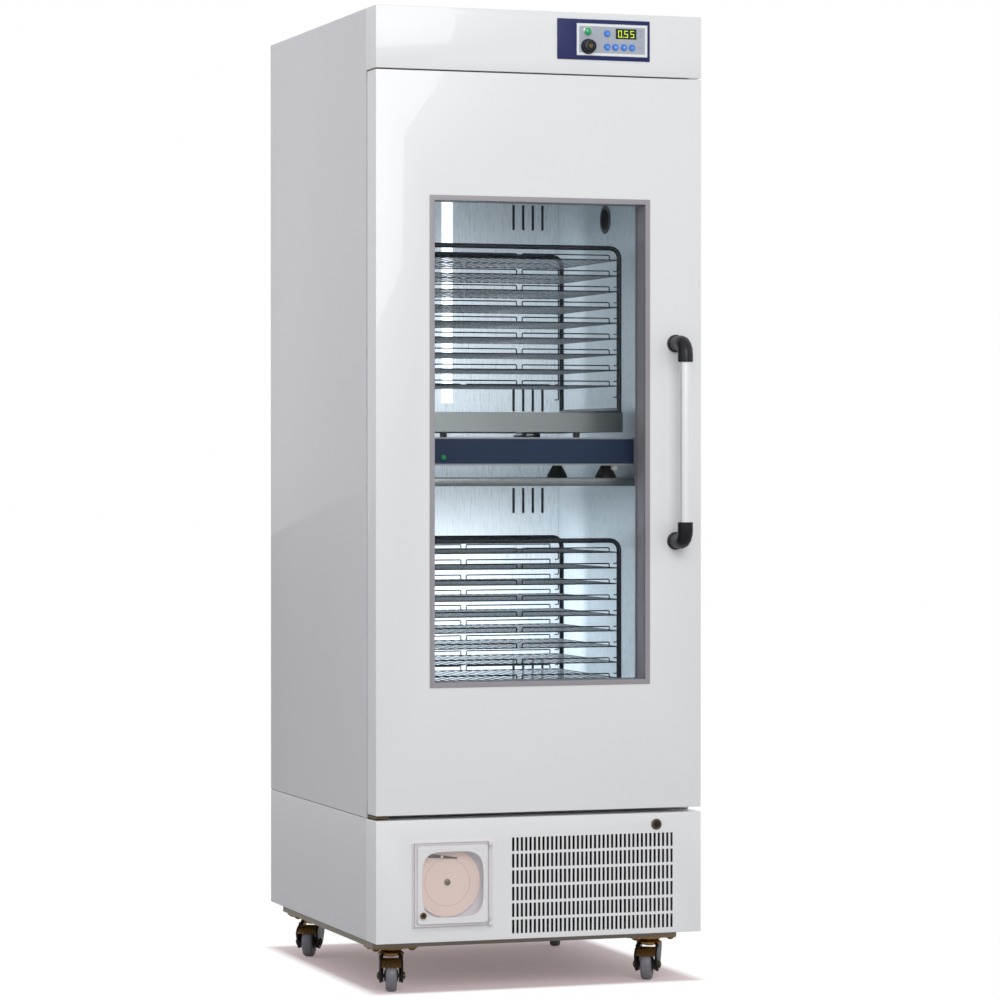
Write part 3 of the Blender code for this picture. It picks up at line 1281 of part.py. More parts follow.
def agitator(name, stand, looks):
    """One flatbed agitator: housing with rails and gearbox, crank, platform and wire rack."""
    front = FRONT_Y + HOUSING_FRONT
    back = front + HOUSING_DEPTH
    floor = stand + FOOT_HEIGHT
    top = floor + HOUSING_HEIGHT
    crank = (CRANK_X, FRONT_Y + CRANK_DEPTH)
    wall = HOUSING_WALL
    housing = cut(
        block((-HOUSING_HALF, front, floor), (HOUSING_HALF, back, top)),
        block(
            (-HOUSING_HALF + wall, front + wall, floor - LAP),
            (HOUSING_HALF - wall, back - wall, top - wall),
        ),
    )
    rail_z = top + RAIL_RISE
    extras = []
    wide, narrow = AGITATOR_FOOT
    foot_profile = [
        (0, stand + FIT),
        (wide, stand + FIT),
        (wide, stand + AGITATOR_FOOT_RIM),
        (narrow, floor - FIT),
        (narrow, top - wall / 2),
        (0, top - wall / 2),
    ]
    for x in (-HOUSING_HALF + AGITATOR_FOOT_INSET, HOUSING_HALF - AGITATOR_FOOT_INSET):
        for y in (front + AGITATOR_FOOT_INSET, back - AGITATOR_FOOT_INSET):
            extras.append(turned("z", (x, y), foot_profile, SMALL_SIDES))
    extras.append(cylinder("z", crank, GEARBOX_RADIUS, floor + GEARBOX_LIFT, top - wall / 2))
    for depth in RAIL_DEPTHS:
        y = FRONT_Y + depth
        half = RAIL_SIZE / 2
        corner = (-RAIL_HALF, y - half, rail_z)
        extras.append(block(corner, (RAIL_HALF, y + half, rail_z + RAIL_SIZE)))
        for x in (-RAIL_HALF, RAIL_HALF - RAIL_SIZE):
            corner = (x, y - half + LAP, top - wall / 2)
            extras.append(block(corner, (x + RAIL_SIZE, y + half - LAP, rail_z + half)))
    join(housing, *extras)
    shaft_bore = (top - CRANK_BORE_DEPTH, top + LAP)
    cut(housing, cylinder("z", crank, CRANK_SHAFT + RUNNING, *shaft_bore, SMALL_SIDES))
    part(name + "_agitator_base", housing, looks["navy"])

    disc_low = top + wall
    disc_top = disc_low + CRANK_DISC_HEIGHT
    disc_mid = (disc_low + disc_top) / 2
    shaft_low = top - CRANK_BORE_DEPTH + wall
    pin = (crank[0], crank[1] + CRANK_THROW)
    wheel = join(
        cylinder("z", crank, CRANK_DISC, disc_low, disc_top),
        cylinder("z", crank, CRANK_SHAFT, shaft_low, disc_mid, SMALL_SIDES),
        cylinder("z", pin, CRANK_PIN, disc_mid, disc_top + CRANK_PIN_HEIGHT, SMALL_SIDES),
    )
    part(name + "_crank", wheel, looks["steel"], (crank[0], crank[1], disc_low))

    low = top + PLATFORM_CLEARANCE
    high = low + PLATFORM_HEIGHT
    y0, y1 = (FRONT_Y + depth for depth in PLATFORM_DEPTH)
    sheet = PLATFORM_SHEET
    under = high - sheet / 2
    platform = cut(
        block((-PLATFORM_HALF, y0, low), (PLATFORM_HALF, y1, high)),
        block(
            (-PLATFORM_HALF + sheet, y0 + sheet, low - LAP),
            (PLATFORM_HALF - sheet, y1 - sheet, high - sheet),
        ),
    )
    yoke_half = CRANK_PIN + YOKE_SLACK
    reach = CRANK_PIN * 2 + wall
    yoke = (crank[1] - reach, crank[1] + CRANK_THROW + reach)
    yoke_z = disc_top + sheet
    fittings = []
    for side in (-1, 1):
        edges = sorted((CRANK_X + side * yoke_half, CRANK_X + side * (yoke_half + YOKE_WALL)))
        fittings.append(block((edges[0], yoke[0], yoke_z), (edges[1], yoke[1], under)))
    grip = RAIL_SIZE / 2 + FIT
    outer = grip + SADDLE_WALL
    for depth in RAIL_DEPTHS:
        y = FRONT_Y + depth
        saddle_z = rail_z + RAIL_SIZE * 0.3
        crown = rail_z + RAIL_SIZE + FIT
        outline = [
            (y - outer, saddle_z),
            (y - grip, saddle_z),
            (y - grip, crown),
            (y + grip, crown),
            (y + grip, saddle_z),
            (y + outer, saddle_z),
            (y + outer, under),
            (y - outer, under),
        ]
        for x in (-SADDLE_X, SADDLE_X):
            fittings.append(prism(outline, "x", x - SADDLE_LENGTH / 2, x + SADDLE_LENGTH / 2))
    middle = (0, (y0 + y1) / 2, high)
    part(name + "_platform", join(platform, *fittings), looks["stainless"], middle)
    part(name + "_rack", wire_rack(high + FIT, y0 + ROD, y1 - ROD), looks["stainless"], middle)


def wire_shelf(half, y0, y1, top):
    """One flat wire shelf with a two-part fence along its front edge."""
    wire = SHELF_WIRE
    deck = block((-half, y0, top - wire), (half, y1, top))
    pitch = (2 * half - wire) / SHELF_SLOTS
    gaps = []
    for i in range(SHELF_SLOTS):
        left = -half + wire + i * pitch
        gaps.append(((left, y0 + wire, top - wire - LAP), (left + pitch - wire, y1 - wire, top + LAP)))
    cut(deck, blocks(gaps))
    fences = []
    for side in (-1, 1):
        near, far = (side * x for x in FENCE_SPAN)
        step = side * wire
        rise = top + FENCE_RISE
        outline = [
            (near, top - wire / 2),
            (near, rise),
            (far, rise),
            (far, top - wire / 2),
            (far - step, top - wire / 2),
            (far - step, rise - wire),
            (near + step, rise - wire),
            (near + step, top - wire / 2),
        ]
        fences.append(prism(outline, "y", y0 + wire * 0.1, y0 + wire * 0.9))
    return join(deck, *fences)


def wire_rack(foot, front, back):
    """Two bent rod frames standing on the platform, tied by base rods and the shelves."""
    half = PLATFORM_HALF - ROD
    top = foot + RACK_HEIGHT - ROD
    hoops = []
    for y in (front, back):
        corners = [(-half, y, foot), (-half, y, top), (half, y, top), (half, y, foot)]
        hoops.append(rod(bent(corners, RACK_BEND, 3), ROD))
    for x in (-half, half):
        hoops.append(rod([Vector((x, front, foot + ROD)), Vector((x, back, foot + ROD))], ROD * 0.8))
    deck_half = half - ROD + LAP
    shelves = []
    for i in range(SHELF_COUNT):
        level = top - TOP_SHELF_DROP - i * SHELF_PITCH
        shelves.append(wire_shelf(deck_half, front - SHELF_WIRE, back + SHELF_WIRE, level))
    return join(hoops[0], *hoops[1:], *shelves)


def build():
    for obj in list(bpy.data.objects):
        bpy.data.objects.remove(obj)
    looks = {
        "painted_front": finish("white_enamel", "#F1F3F5", 0.35),
        "painted_side": finish("pale_grey_enamel", "#C9C8D2", 0.40),
        "foam": finish("insulating_foam", "#E8DFB8", 0.90),
        "stainless": finish("stainless_sheet", "#B4BABD", 0.28, 1.0),
        "aluminium": finish("aluminium_fins", "#C3C6C8", 0.45, 1.0),
        "lamp": finish("lamp_diffuser", "#F7FBFF", 0.30),
        "black_plastic": finish("black_plastic", "#15161C", 0.45),
        "white_plastic": finish("white_plastic", "#ECEDEF", 0.45),
        "grey_plastic": finish("grey_plastic", "#AEB0B6", 0.50),
        "clear_plastic": finish("clear_lid", "#D9DCE0", 0.15, 0.0, 0.45),
        "grey_profile": finish("grey_profile", "#9A969C", 0.45),
        "glass": finish("window_glass", "#DCE9EC", 0.05, 0.0, 0.25),
        "gasket": finish("white_gasket", "#EDEDEB", 0.60),
        "silver": finish("satin_aluminium", "#D7DADD", 0.30, 1.0),
        "silver_film": finish("silver_film", "#C5CAD3", 0.40),
        "navy": finish("navy_enamel", "#2B3766", 0.40),
        "screen": finish("display_window", "#10160F", 0.15),
        "green_lens": finish("green_lens", "#1FA566", 0.20),
        "blue_key": finish("blue_keys", "#3F7FE0", 0.35),
        "chrome": finish("chrome_plate", "#D9D9D9", 0.10, 1.0),
        "steel": finish("bright_steel", "#A9ABAD", 0.35, 1.0),
        "zinc": finish("yellow_zinc", "#8F7A45", 0.35, 1.0),
        "rubber": finish("grey_rubber", "#6E6E76", 0.70),
        "chart_paper": finish("chart_paper", "#F7DDD0", 0.80),
        "black_paint": finish("black_paint", "#1A1A1C", 0.45),
    }
    cabinet_body(looks)
    chamber_fittings(looks)
    header(looks)
    door(looks)
    upper, lower = HINGE_PLATE
    hinge_bracket("hinge_bracket_upper", (HEADER_Z + DOOR_Z[1] - upper) / 2, upper, 1, looks)
    hinge_bracket("hinge_bracket_lower", (SPLIT_Z + DOOR_Z[0] + lower) / 2, lower, -1, looks)
    base(looks)
    recorder(looks)
    refrigeration(looks)
    casters(looks)
    agitator("upper", MID_SHELF_Z, looks)
    agitator("lower", FLOOR_Z, looks)


build()
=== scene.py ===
# %% [markdown]
# # Dressing a platelet incubator
#
# A platelet incubator is a tall glazed cabinet that keeps bags of platelets warm and moving. The
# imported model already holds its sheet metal, its door, its two agitators and their joints. This
# lesson gives each piece the finish of the real one, and adds what is too fine for that model:
# wires, prints, knobs, nuts and soft edges. Everything is in metres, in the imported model's frame.

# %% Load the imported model
import json
import math

import bmesh
import bpy
from mathutils import Matrix, Vector


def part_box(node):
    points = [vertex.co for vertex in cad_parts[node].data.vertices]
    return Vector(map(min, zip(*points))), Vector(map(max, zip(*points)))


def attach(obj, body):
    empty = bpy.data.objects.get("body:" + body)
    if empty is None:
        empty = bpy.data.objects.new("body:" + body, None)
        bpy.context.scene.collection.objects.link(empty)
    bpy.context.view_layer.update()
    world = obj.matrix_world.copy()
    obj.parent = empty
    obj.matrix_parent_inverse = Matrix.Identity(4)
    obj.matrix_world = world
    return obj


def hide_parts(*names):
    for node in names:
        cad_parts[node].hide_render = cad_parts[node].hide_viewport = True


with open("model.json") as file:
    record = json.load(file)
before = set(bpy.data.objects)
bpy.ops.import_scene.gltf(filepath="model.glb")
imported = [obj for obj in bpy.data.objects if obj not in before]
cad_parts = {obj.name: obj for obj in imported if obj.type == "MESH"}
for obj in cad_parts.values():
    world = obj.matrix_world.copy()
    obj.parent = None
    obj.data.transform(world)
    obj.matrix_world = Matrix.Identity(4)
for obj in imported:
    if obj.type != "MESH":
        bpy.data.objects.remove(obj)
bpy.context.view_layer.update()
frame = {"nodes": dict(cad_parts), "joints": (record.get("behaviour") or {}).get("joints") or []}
nodes = frame["nodes"]
FRONT_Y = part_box("door_skin")[0].y
print("door face at y =", round(FRONT_Y, 4), "and", len(nodes), "nodes")

# %% [markdown]
# ## The camera
#
# The picture was taken with a long lens from the front left, at about chest height. Place, turn
# and lens were solved from the cabinet's corners, so the frame needs no shift.

# %% Camera
CAMERA_PLACE = (-2.5285, -7.5905, 1.0598)
CAMERA_YAW = 0.3257
CAMERA_PITCH = -0.0098
CAMERA_LENS = 137.58
SENSOR_WIDTH = 36
eye = bpy.data.cameras.new("studio_camera")
eye.sensor_width = SENSOR_WIDTH
eye.lens = CAMERA_LENS
camera = bpy.data.objects.new("studio_camera", eye)
camera.location = CAMERA_PLACE
camera.rotation_euler = (math.pi / 2 + CAMERA_PITCH, 0, -CAMERA_YAW)
bpy.context.scene.collection.objects.link(camera)
bpy.context.scene.camera = camera
bpy.context.scene.view_settings.view_transform = "Standard"
print("camera", CAMERA_LENS, "mm")

# %% [markdown]
# ## Two small helpers for nodes
#
# Colours are written as hex values, as a paint chart gives them, and Blender wants them linear.
# One function adds any node, sets its options and fills or links its sockets, so a material or a
# geometry tree reads from top to bottom.

# %% Colours and nodes
def colour(code, alpha=1.0):
    """An sRGB hex value as a linear colour."""
    parts = [int(code[i : i + 2], 16) / 255 for i in (1, 3, 5)]
    return (*[c / 12.92 if c <= 0.04045 else ((c + 0.055) / 1.055) ** 2.4 for c in parts], alpha)


def add(tree, kind, inputs=None, **options):
    """Adds a node; an input that is a socket is linked, and any other value is set."""
    node = tree.nodes.new(kind)
    for name, value in options.items():
        setattr(node, name, value)
    for name, value in (inputs or {}).items():
        if isinstance(value, bpy.types.NodeSocket):
            tree.links.new(value, node.inputs[name])
        else:
            node.inputs[name].default_value = value
    return node


print("white enamel is", [round(c, 3) for c in colour("#F3F4F6")])

# %% [markdown]
# ## What every finish shares
#
# Real sheet, paint and plastic are never one flat value. A finish here starts from its colour and
# gloss, and noise measured in millimetres then shifts its tone, its roughness and its surface a
# little. Stretching that noise along one axis turns it into the fine lines of brushed steel.

# %% A finish with grain
NOISE_LOW, NOISE_HIGH = 0.3, 0.7
PATCHES_PER_METRE = 4.0
GLOSS_SPREAD = 0.15
BUMP_STRENGTH = 0.6


def finish(name, code, roughness, grain=2.0, shade=0.03, relief=0.02, stretch=(1, 1, 1), **sockets):
    """A Principled material; grain is in mm, relief in mm, shade is the share that tone varies."""
    look = bpy.data.materials.new(name)
    look.use_nodes = True
    tree = look.node_tree
    shader = tree.nodes["Principled BSDF"]
    for label, value in sockets.items():
        shader.inputs[label.replace("_", " ")].default_value = value
    place = add(tree, "ShaderNodeTexCoord").outputs["Object"]
    scale = tuple(1000 * s / grain for s in stretch)
    points = add(tree, "ShaderNodeVectorMath", {0: place, 1: scale}, operation="MULTIPLY")
    noise = add(tree, "ShaderNodeTexNoise", {"Vector": points.outputs[0], "Scale": 1.0, "Detail": 3.0})
    fine = noise.outputs[0]
    patches = add(tree, "ShaderNodeTexNoise", {"Vector": place, "Scale": PATCHES_PER_METRE, "Detail": 2.0})
    broad = patches.outputs[0]
    both = add(tree, "ShaderNodeMath", {0: fine, 1: broad, 2: broad}, operation="MULTIPLY_ADD")
    pure = colour(code)
    dark = (*[c * (1 - shade) for c in pure[:3]], 1.0)
    light = (*[min(1.0, c * (1 + shade)) for c in pure[:3]], 1.0)
    tone = add(tree, "ShaderNodeMix", {0: both.outputs[0], 6: dark, 7: light}, data_type="RGBA")
    tree.links.new(tone.outputs[2], shader.inputs["Base Color"])
    smooth, rough = roughness * (1 - GLOSS_SPREAD), roughness * (1 + GLOSS_SPREAD)
    gloss = add(tree, "ShaderNodeMapRange", {0: fine, 1: NOISE_LOW, 2: NOISE_HIGH, 3: smooth, 4: rough})
    tree.links.new(gloss.outputs[0], shader.inputs["Roughness"])
    bump = add(tree, "ShaderNodeBump", {
        "Height": fine, "Strength": BUMP_STRENGTH, "Distance": relief / 1000,
    })
    tree.links.new(bump.outputs[0], shader.inputs["Normal"])
    return look


print("one recipe for every finish")

# %% [markdown]
# ## Enamel and steel
#
# The outside is powder enamel with a faint orange peel; the sides take a darker copy of it, which is
# painted shade. The chamber and platforms are stainless steel, brushed along the sheet, and the wire
# racks are painted dark against it, as a painted reflection of the shaded chamber. Real brush lines
# are finer than a pixel, so they are drawn half a millimetre wide, which still pulls a highlight out across
# them.

# %% Enamel and steel finishes
ALONG_X = (0.02, 1, 1)
ALONG_Z = (1, 1, 0.02)
# Sprayed and baked powder: a skin with a 1.6 mm ripple, so edges of reflections soften.
enamel = finish("white_enamel", "#F3F4F6", 0.32, 1.6, 0.012, 0.03, Coat_Weight=0.3)
# The same white enamel on the sides, in a darker and cooler copy: painted shade.
painted_shade_enamel = finish("pale_grey_enamel", "#E4E3EA", 0.36, 1.6, 0.015, 0.03, Coat_Weight=0.2)
housing_grey = finish("housing_enamel", "#B7BCC0", 0.38, 1.6, 0.03, 0.02)
# Stainless sheet, rolled and brushed: a bright streaky sheen across the brush lines.
stainless = finish("brushed_liner", "#D3DBDF", 0.30, 0.5, 0.05, 0.006, ALONG_Z, Metallic=0.55)
tray_steel = finish("brushed_platform", "#A3AAAB", 0.34, 0.5, 0.08, 0.008, ALONG_X, Metallic=1.0)
shelf_steel = finish("brushed_shelf", "#8F9799", 0.30, 0.5, 0.08, 0.008, ALONG_X, Metallic=1.0)
# Polished stainless wire: smooth, and painted dark, a painted reflection of the shaded chamber.
wire_steel = finish("polished_wire", "#3C444B", 0.24, 3.0, 0.08, 0.004, Metallic=0.8)
# Extruded, etched and anodised aluminium: a matt frame round the glass, and a satin handle bar.
grey_profile = finish("grey_profile", "#A19DA4", 0.42, 1.0, 0.02, 0.01)
satin_bar = finish("anodised_bar", "#F4F5F7", 0.22, 0.6, 0.01, 0.001, ALONG_Z, Metallic=0.35)
# Plated brass: a clean mirror.
chrome = finish("chrome_plate", "#DCDDDF", 0.07, 6.0, 0.02, 0.002, Metallic=1.0)
# Zinc, bronze and black plating, weathered: patches some millimetres wide, some darker, some lighter.
dark_zinc = finish("weathered_zinc", "#5C5038", 0.34, 4.0, 0.35, 0.02, Metallic=0.9)
bronze = finish("swivel_bronze", "#8A6C42", 0.28, 6.0, 0.45, 0.02, Metallic=0.9)
fork_black = finish("blackened_fork", "#1E1C1E", 0.32, 4.0, 0.30, 0.02, Metallic=0.5)
# Primer and paint on the chassis and the cooling unit, and bare aluminium fins.
chassis_paint = finish("chassis_primer", "#978F84", 0.50, 2.0, 0.06, 0.03)
# The condenser's black is its paint, and partly painted shade, so that the grille's slots stay dark.
black_paint = finish("black_paint", "#1A1A1C", 0.42, 1.5, 0.15, 0.03)
fin_metal = finish("coil_fins", "#C3C6C8", 0.42, 1.0, 0.08, 0.02, Metallic=1.0)
print("enamel and steel ready")

# %% [markdown]
# ## Plastic, film and rubber
#
# Moulded plastic has a fine spark-eroded texture and a soft gloss, printed film is smoother and
# flatter, and rubber is nearly matt with a coarser skin. The lamp's cover and the digits give off
# a little light of their own.

# %% Plastic, film and rubber finishes
# Moulded plastic: a texture about a millimetre wide, coarser than the real one so that it shows.
# It blurs each reflection evenly.
core = finish("door_liner_plastic", "#ECEDEF", 0.42, 1.5, 0.015, 0.02)
black_plastic = finish("black_moulding", "#12121C", 0.36, 0.8, 0.12, 0.02, Specular_IOR_Level=0.35)
case_grey = finish("recorder_moulding", "#EFECF1", 0.40, 1.2, 0.02, 0.02)
case_line = finish("recorder_seam", "#A89A96", 0.50, 1.0, 0.04, 0.01)
mask_white = finish("recorder_mask", "#F6F5F7", 0.38, 1.2, 0.015, 0.01)
fan_plastic = finish("fan_plastic", "#24262B", 0.45, 1.0, 0.12, 0.03)
blue_key = finish("blue_keys", "#3F7FE0", 0.30, 0.8, 0.08, 0.015, Coat_Weight=0.3)
# A moulded lens and a display window: glossy, with a tone that shifts a little, as over ribs.
green_lens = finish("green_lens", "#1FA566", 0.14, 1.5, 0.18, 0.02, Coat_Weight=0.6)
display_glass = finish("display_window", "#121A0E", 0.10, 4.0, 0.10, 0.002)
# Screen-printed polyester film: flat and even, with a low sheen so that dark blue stays dark.
navy = finish("navy_film", "#22395C", 0.40, 1.2, 0.05, 0.01, Specular_IOR_Level=0.3)
bezel_navy = finish("navy_bezel", "#222B60", 0.45, 1.0, 0.04, 0.01, Specular_IOR_Level=0.25)
silver_film = finish("silver_film", "#AEB5C1", 0.40, 0.3, 0.05, 0.004)
white_print = finish("white_print", "#F4F6F8", 0.45, 1.0, 0.01, 0.005)
grey_print = finish("grey_print", "#7E8894", 0.50, 1.0, 0.02, 0.005)
key_print = finish("key_print", "#CFE2FF", 0.40, 1.0, 0.02, 0.005)
# Moulded rubber and extruded vinyl: nearly matt, with a skin a millimetre or so coarse.
gasket = finish("magnetic_gasket", "#E6E5E3", 0.60, 1.2, 0.03, 0.03)
rubber = finish("grey_tyre", "#76757C", 0.42, 1.2, 0.08, 0.05)
tyre_hub = finish("caster_hub", "#38363C", 0.45, 1.2, 0.08, 0.03)
foot_rubber = finish("black_foot", "#121214", 0.60, 1.2, 0.08, 0.03)
# Poured foam: matt cells about 3 mm across.
foam = finish("insulating_foam", "#D8CFA6", 0.90, 3.0, 0.10, 0.30)
# A milky lamp cover and lit digits.
lamp_cover = finish("lamp_diffuser", "#F7FBFF", 0.30, 1.0, 0.01, 0.01,
                    Emission_Color=colour("#F4FAFF"), Emission_Strength=1.2)
digit_glow = finish("display_digits", "#D8F23A", 0.40, 1.0, 0.02, 0.002,
                    Emission_Color=colour("#D8F23A"), Emission_Strength=0.6)
print("plastic, film and rubber ready")

# %% [markdown]
# ## Clear pieces
#
# The two window panes and the recorder's lid have to let lamp light through as well as the view.
# A low alpha does that without the noise of refraction, and keeps a soft reflection on top.

# %% Glass and clear plastic
pane = finish("window_glass", "#1E2629", 0.03, 60.0, 0.01, 0.001, Alpha=0.05, Specular_IOR_Level=0.5)
clear_lid = finish("clear_lid", "#F1F1F4", 0.06, 30.0, 0.01, 0.001, Alpha=0.09, Specular_IOR_Level=0.5)
print("clear finishes made")

# %% [markdown]
# ## The chart paper
#
# A seven-day chart is a pink disc printed with fine rings and curved time lines. Distance from
# the disc's centre gives the rings, and the angle round it gives the lines, so both are worked
# out from Object coordinates that a Mapping node centres on the hub.

# %% Chart paper
chart_low, chart_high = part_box("recorder_chart")
chart_centre = (chart_low + chart_high) / 2
RING_MM = 3.1
TIME_LINES = 28
TIME_LINE_BEND = 9.0
LINE_SHARE = 0.14
FINE_PRINT = 0.22
BOLD_RING = 0.047
BOLD_HALF = 0.0006
BOLD_PRINT = 0.6

chart_paper = finish("chart_paper", "#FBE4D8", 0.75, 2.0, 0.02, 0.01)
tree = chart_paper.node_tree
tone = next(n for n in tree.nodes if n.type == "MIX")
place = add(tree, "ShaderNodeTexCoord").outputs["Object"]
centred = add(tree, "ShaderNodeMapping", {"Vector": place, "Location": tuple(-c for c in chart_centre)})
axes = add(tree, "ShaderNodeSeparateXYZ", {0: centred.outputs[0]})
flat = add(tree, "ShaderNodeCombineXYZ", {0: axes.outputs[0], 1: axes.outputs[2]})
radius = add(tree, "ShaderNodeVectorMath", {0: flat.outputs[0]}, operation="LENGTH").outputs["Value"]
ring = add(tree, "ShaderNodeMath", {0: radius, 1: 1000 / RING_MM}, operation="MULTIPLY")
angle = add(tree, "ShaderNodeMath", {0: axes.outputs[0], 1: axes.outputs[2]}, operation="ARCTAN2")
bend = add(tree, "ShaderNodeMath", {
    0: radius, 1: TIME_LINE_BEND, 2: angle.outputs[0],
}, operation="MULTIPLY_ADD")
spoke = add(tree, "ShaderNodeMath", {0: bend.outputs[0], 1: TIME_LINES / math.tau}, operation="MULTIPLY")
drawn = []
for count, share in ((ring, LINE_SHARE), (spoke, LINE_SHARE / 2)):
    part = add(tree, "ShaderNodeMath", {0: count.outputs[0]}, operation="FRACT")
    line = add(tree, "ShaderNodeMath", {0: part.outputs[0], 1: share}, operation="LESS_THAN")
    drawn.append(line.outputs[0])
lines = add(tree, "ShaderNodeMath", {0: drawn[0], 1: drawn[1]}, operation="MAXIMUM")
weak = add(tree, "ShaderNodeMath", {0: lines.outputs[0], 1: FINE_PRINT}, operation="MULTIPLY")
band = add(tree, "ShaderNodeMath", {0: radius, 1: BOLD_RING, 2: BOLD_HALF}, operation="COMPARE")
bold = add(tree, "ShaderNodeMath", {0: band.outputs[0], 1: BOLD_PRINT}, operation="MULTIPLY")
ink = add(tree, "ShaderNodeMath", {0: weak.outputs[0], 1: bold.outputs[0]}, operation="MAXIMUM")
printed = add(tree, "ShaderNodeMix", {
    0: ink.outputs[0], 6: tone.outputs[2], 7: colour("#D08C84"),
}, data_type="RGBA")
tree.links.new(printed.outputs[2], tree.nodes["Principled BSDF"].inputs["Base Color"])
print("chart has a ring every", RING_MM, "mm")

# %% [markdown]
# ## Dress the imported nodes
#
# A node whose shape is right keeps its mesh and only gets its finish. One table names them all, so
# no node is forgotten, also those that a finer piece stands for later.

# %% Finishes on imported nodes
LEVELS = ("upper", "lower")
CORNERS = ("front_left", "front_right", "back_left", "back_right")
KEYS = ("silence", "set", "down", "up", "light")
DRESS = {
    # outer_shell and base_cover take the darker enamel copy: painted shade on the sides.
    "outer_shell": painted_shade_enamel, "insulation": foam, "inner_liner": stainless, "rear_duct": stainless,
    "header_panel": enamel, "control_bezel": bezel_navy, "key_face": silver_film,
    "display_board": display_glass, "pilot_lamp": green_lens, "key_switch_body": black_plastic,
    "base_frame": chassis_paint, "base_front_panel": enamel, "base_cover": painted_shade_enamel,
    # The condenser's black: its paint, and partly painted shade behind the grille.
    "power_inlet": black_plastic, "compressor": black_paint, "condenser": black_paint,
    "recorder_case": case_grey, "hinge_bracket_upper": dark_zinc, "hinge_bracket_lower": dark_zinc,
    "middle_shelf": shelf_steel, "evaporator_coil": fin_metal, "evaporator_box": stainless,
    "chamber_lamp": lamp_cover, "upper_agitator_base": housing_grey, "lower_agitator_base": housing_grey,
    "door_skin": enamel, "door_inner_panel": core, "window_frame": grey_profile,
    "door_pane_outer": pane, "door_pane_inner": pane, "door_gasket": gasket, "handle_bar": satin_bar,
    "handle_elbow_upper": black_plastic, "handle_elbow_lower": black_plastic, "door_lock": chrome,
    "key_switch_barrel": dark_zinc, "recorder_lid": clear_lid, "recorder_chart": chart_paper,
    "recorder_pen": black_plastic, "circulation_fan": fan_plastic, "condenser_fan": fan_plastic,
    "upper_platform": tray_steel, "lower_platform": tray_steel, "upper_rack": wire_steel,
    "lower_rack": wire_steel, "upper_crank": fin_metal, "lower_crank": fin_metal,
}
for name in KEYS:
    DRESS[name + "_key"] = blue_key
for corner in CORNERS:
    DRESS["caster_fork_" + corner] = fork_black
    DRESS["caster_wheel_" + corner] = rubber
for name, look in DRESS.items():
    mesh = nodes[name].data
    mesh.materials.clear()
    mesh.materials.append(look)
print(len(DRESS), "of", len(nodes), "nodes dressed")

# %% [markdown]
# ## Two finishes on one casting
#
# The base frame is painted, but the caster plates and ball races under it are bronze, and so is
# the crown of each black fork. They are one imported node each, so the faces are told apart by
# their height and get a second material slot.

# %% Second finishes
RAIL_UNDERSIDE = 0.0869
CROWN_UNDERSIDE = 0.0690


def second_finish(mesh, look, chosen):
    """Gives the faces whose middle passes a test a second finish, and counts them."""
    mesh.materials.append(look)
    faces = [face for face in mesh.polygons if chosen(face.center)]
    for face in faces:
        face.material_index = 1
    return len(faces)


count = second_finish(nodes["base_frame"].data, bronze, lambda middle: middle.z < RAIL_UNDERSIDE)
for corner in CORNERS:
    fork = nodes["caster_fork_" + corner].data
    count += second_finish(fork, bronze, lambda middle: middle.z > CROWN_UNDERSIDE)
print(count, "faces are bronze")

# %% [markdown]
# ## Making and placing new pieces
#
# A piece is a mesh at the origin, with its place in its points, that rides on one body of the
# model. These helpers turn bmesh work into such a piece, spin a profile on an axis, and make a
# slab with its edges cut back. No block keeps a sharp edge, because no real one has it.

# %% Piece helpers
SAME_POINT = 1e-6
SHARP_EDGE = math.radians(35)
ALONG = {"x": Vector((1, 0, 0)), "y": Vector((0, 1, 0)), "z": Vector((0, 0, 1))}
OUTWARD = {"x": Vector((0, 1, 0)), "y": Vector((1, 0, 0)), "z": Vector((1, 0, 0))}


def shaded(name, bm, sharp):
    """Turns a bmesh into a smooth mesh, on which edges steeper than sharp stay sharp."""
    mesh = bpy.data.meshes.new(name)
    bm.to_mesh(mesh)
    bm.free()
    mesh.shade_smooth()
    mesh.set_sharp_from_angle(angle=sharp)
    return mesh


def link(name, mesh, look, body, replaced=()):
    """Puts a mesh in the scene as a piece that rides on a body."""
    mesh.materials.append(look)
    obj = bpy.data.objects.new(name, mesh)
    bpy.context.scene.collection.objects.link(obj)
    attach(obj, body)
    if replaced:
        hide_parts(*replaced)


def piece(name, bm, look, body, replaced=()):
    """Closes a bmesh off as a piece with its faces pointing out."""
    bmesh.ops.remove_doubles(bm, verts=bm.verts, dist=SAME_POINT)
    bmesh.ops.recalc_face_normals(bm, faces=bm.faces)
    link(name, shaded(name, bm, SHARP_EDGE), look, body, replaced)


def turned(profile, place, axis="y", sides=48):
    """A turned solid: a profile of (radius, distance) points spun about an axis."""
    bm = bmesh.new()
    verts = [bm.verts.new(OUTWARD[axis] * radius + ALONG[axis] * distance) for radius, distance in profile]
    edges = [bm.edges.new(pair) for pair in zip(verts, verts[1:])]
    bmesh.ops.spin(
        bm, geom=verts + edges, cent=(0, 0, 0), axis=ALONG[axis], angle=math.tau, steps=sides, use_merge=True
    )
    bmesh.ops.translate(bm, vec=place, verts=bm.verts)
    return bm


def slab(bm, low, high, edge):
    """Adds a block with all its edges cut back a little."""
    low, high = Vector(low), Vector(high)
    place = Matrix.Translation((low + high) / 2) @ Matrix.Diagonal((high - low).to_4d())
    made = bmesh.ops.create_cube(bm, size=1.0, matrix=place)["verts"]
    edges = {side for vert in made for side in vert.link_edges}
    bmesh.ops.bevel(bm, geom=list(edges), offset=edge, segments=1, affect="EDGES", profile=0.5)


print("helpers ready")

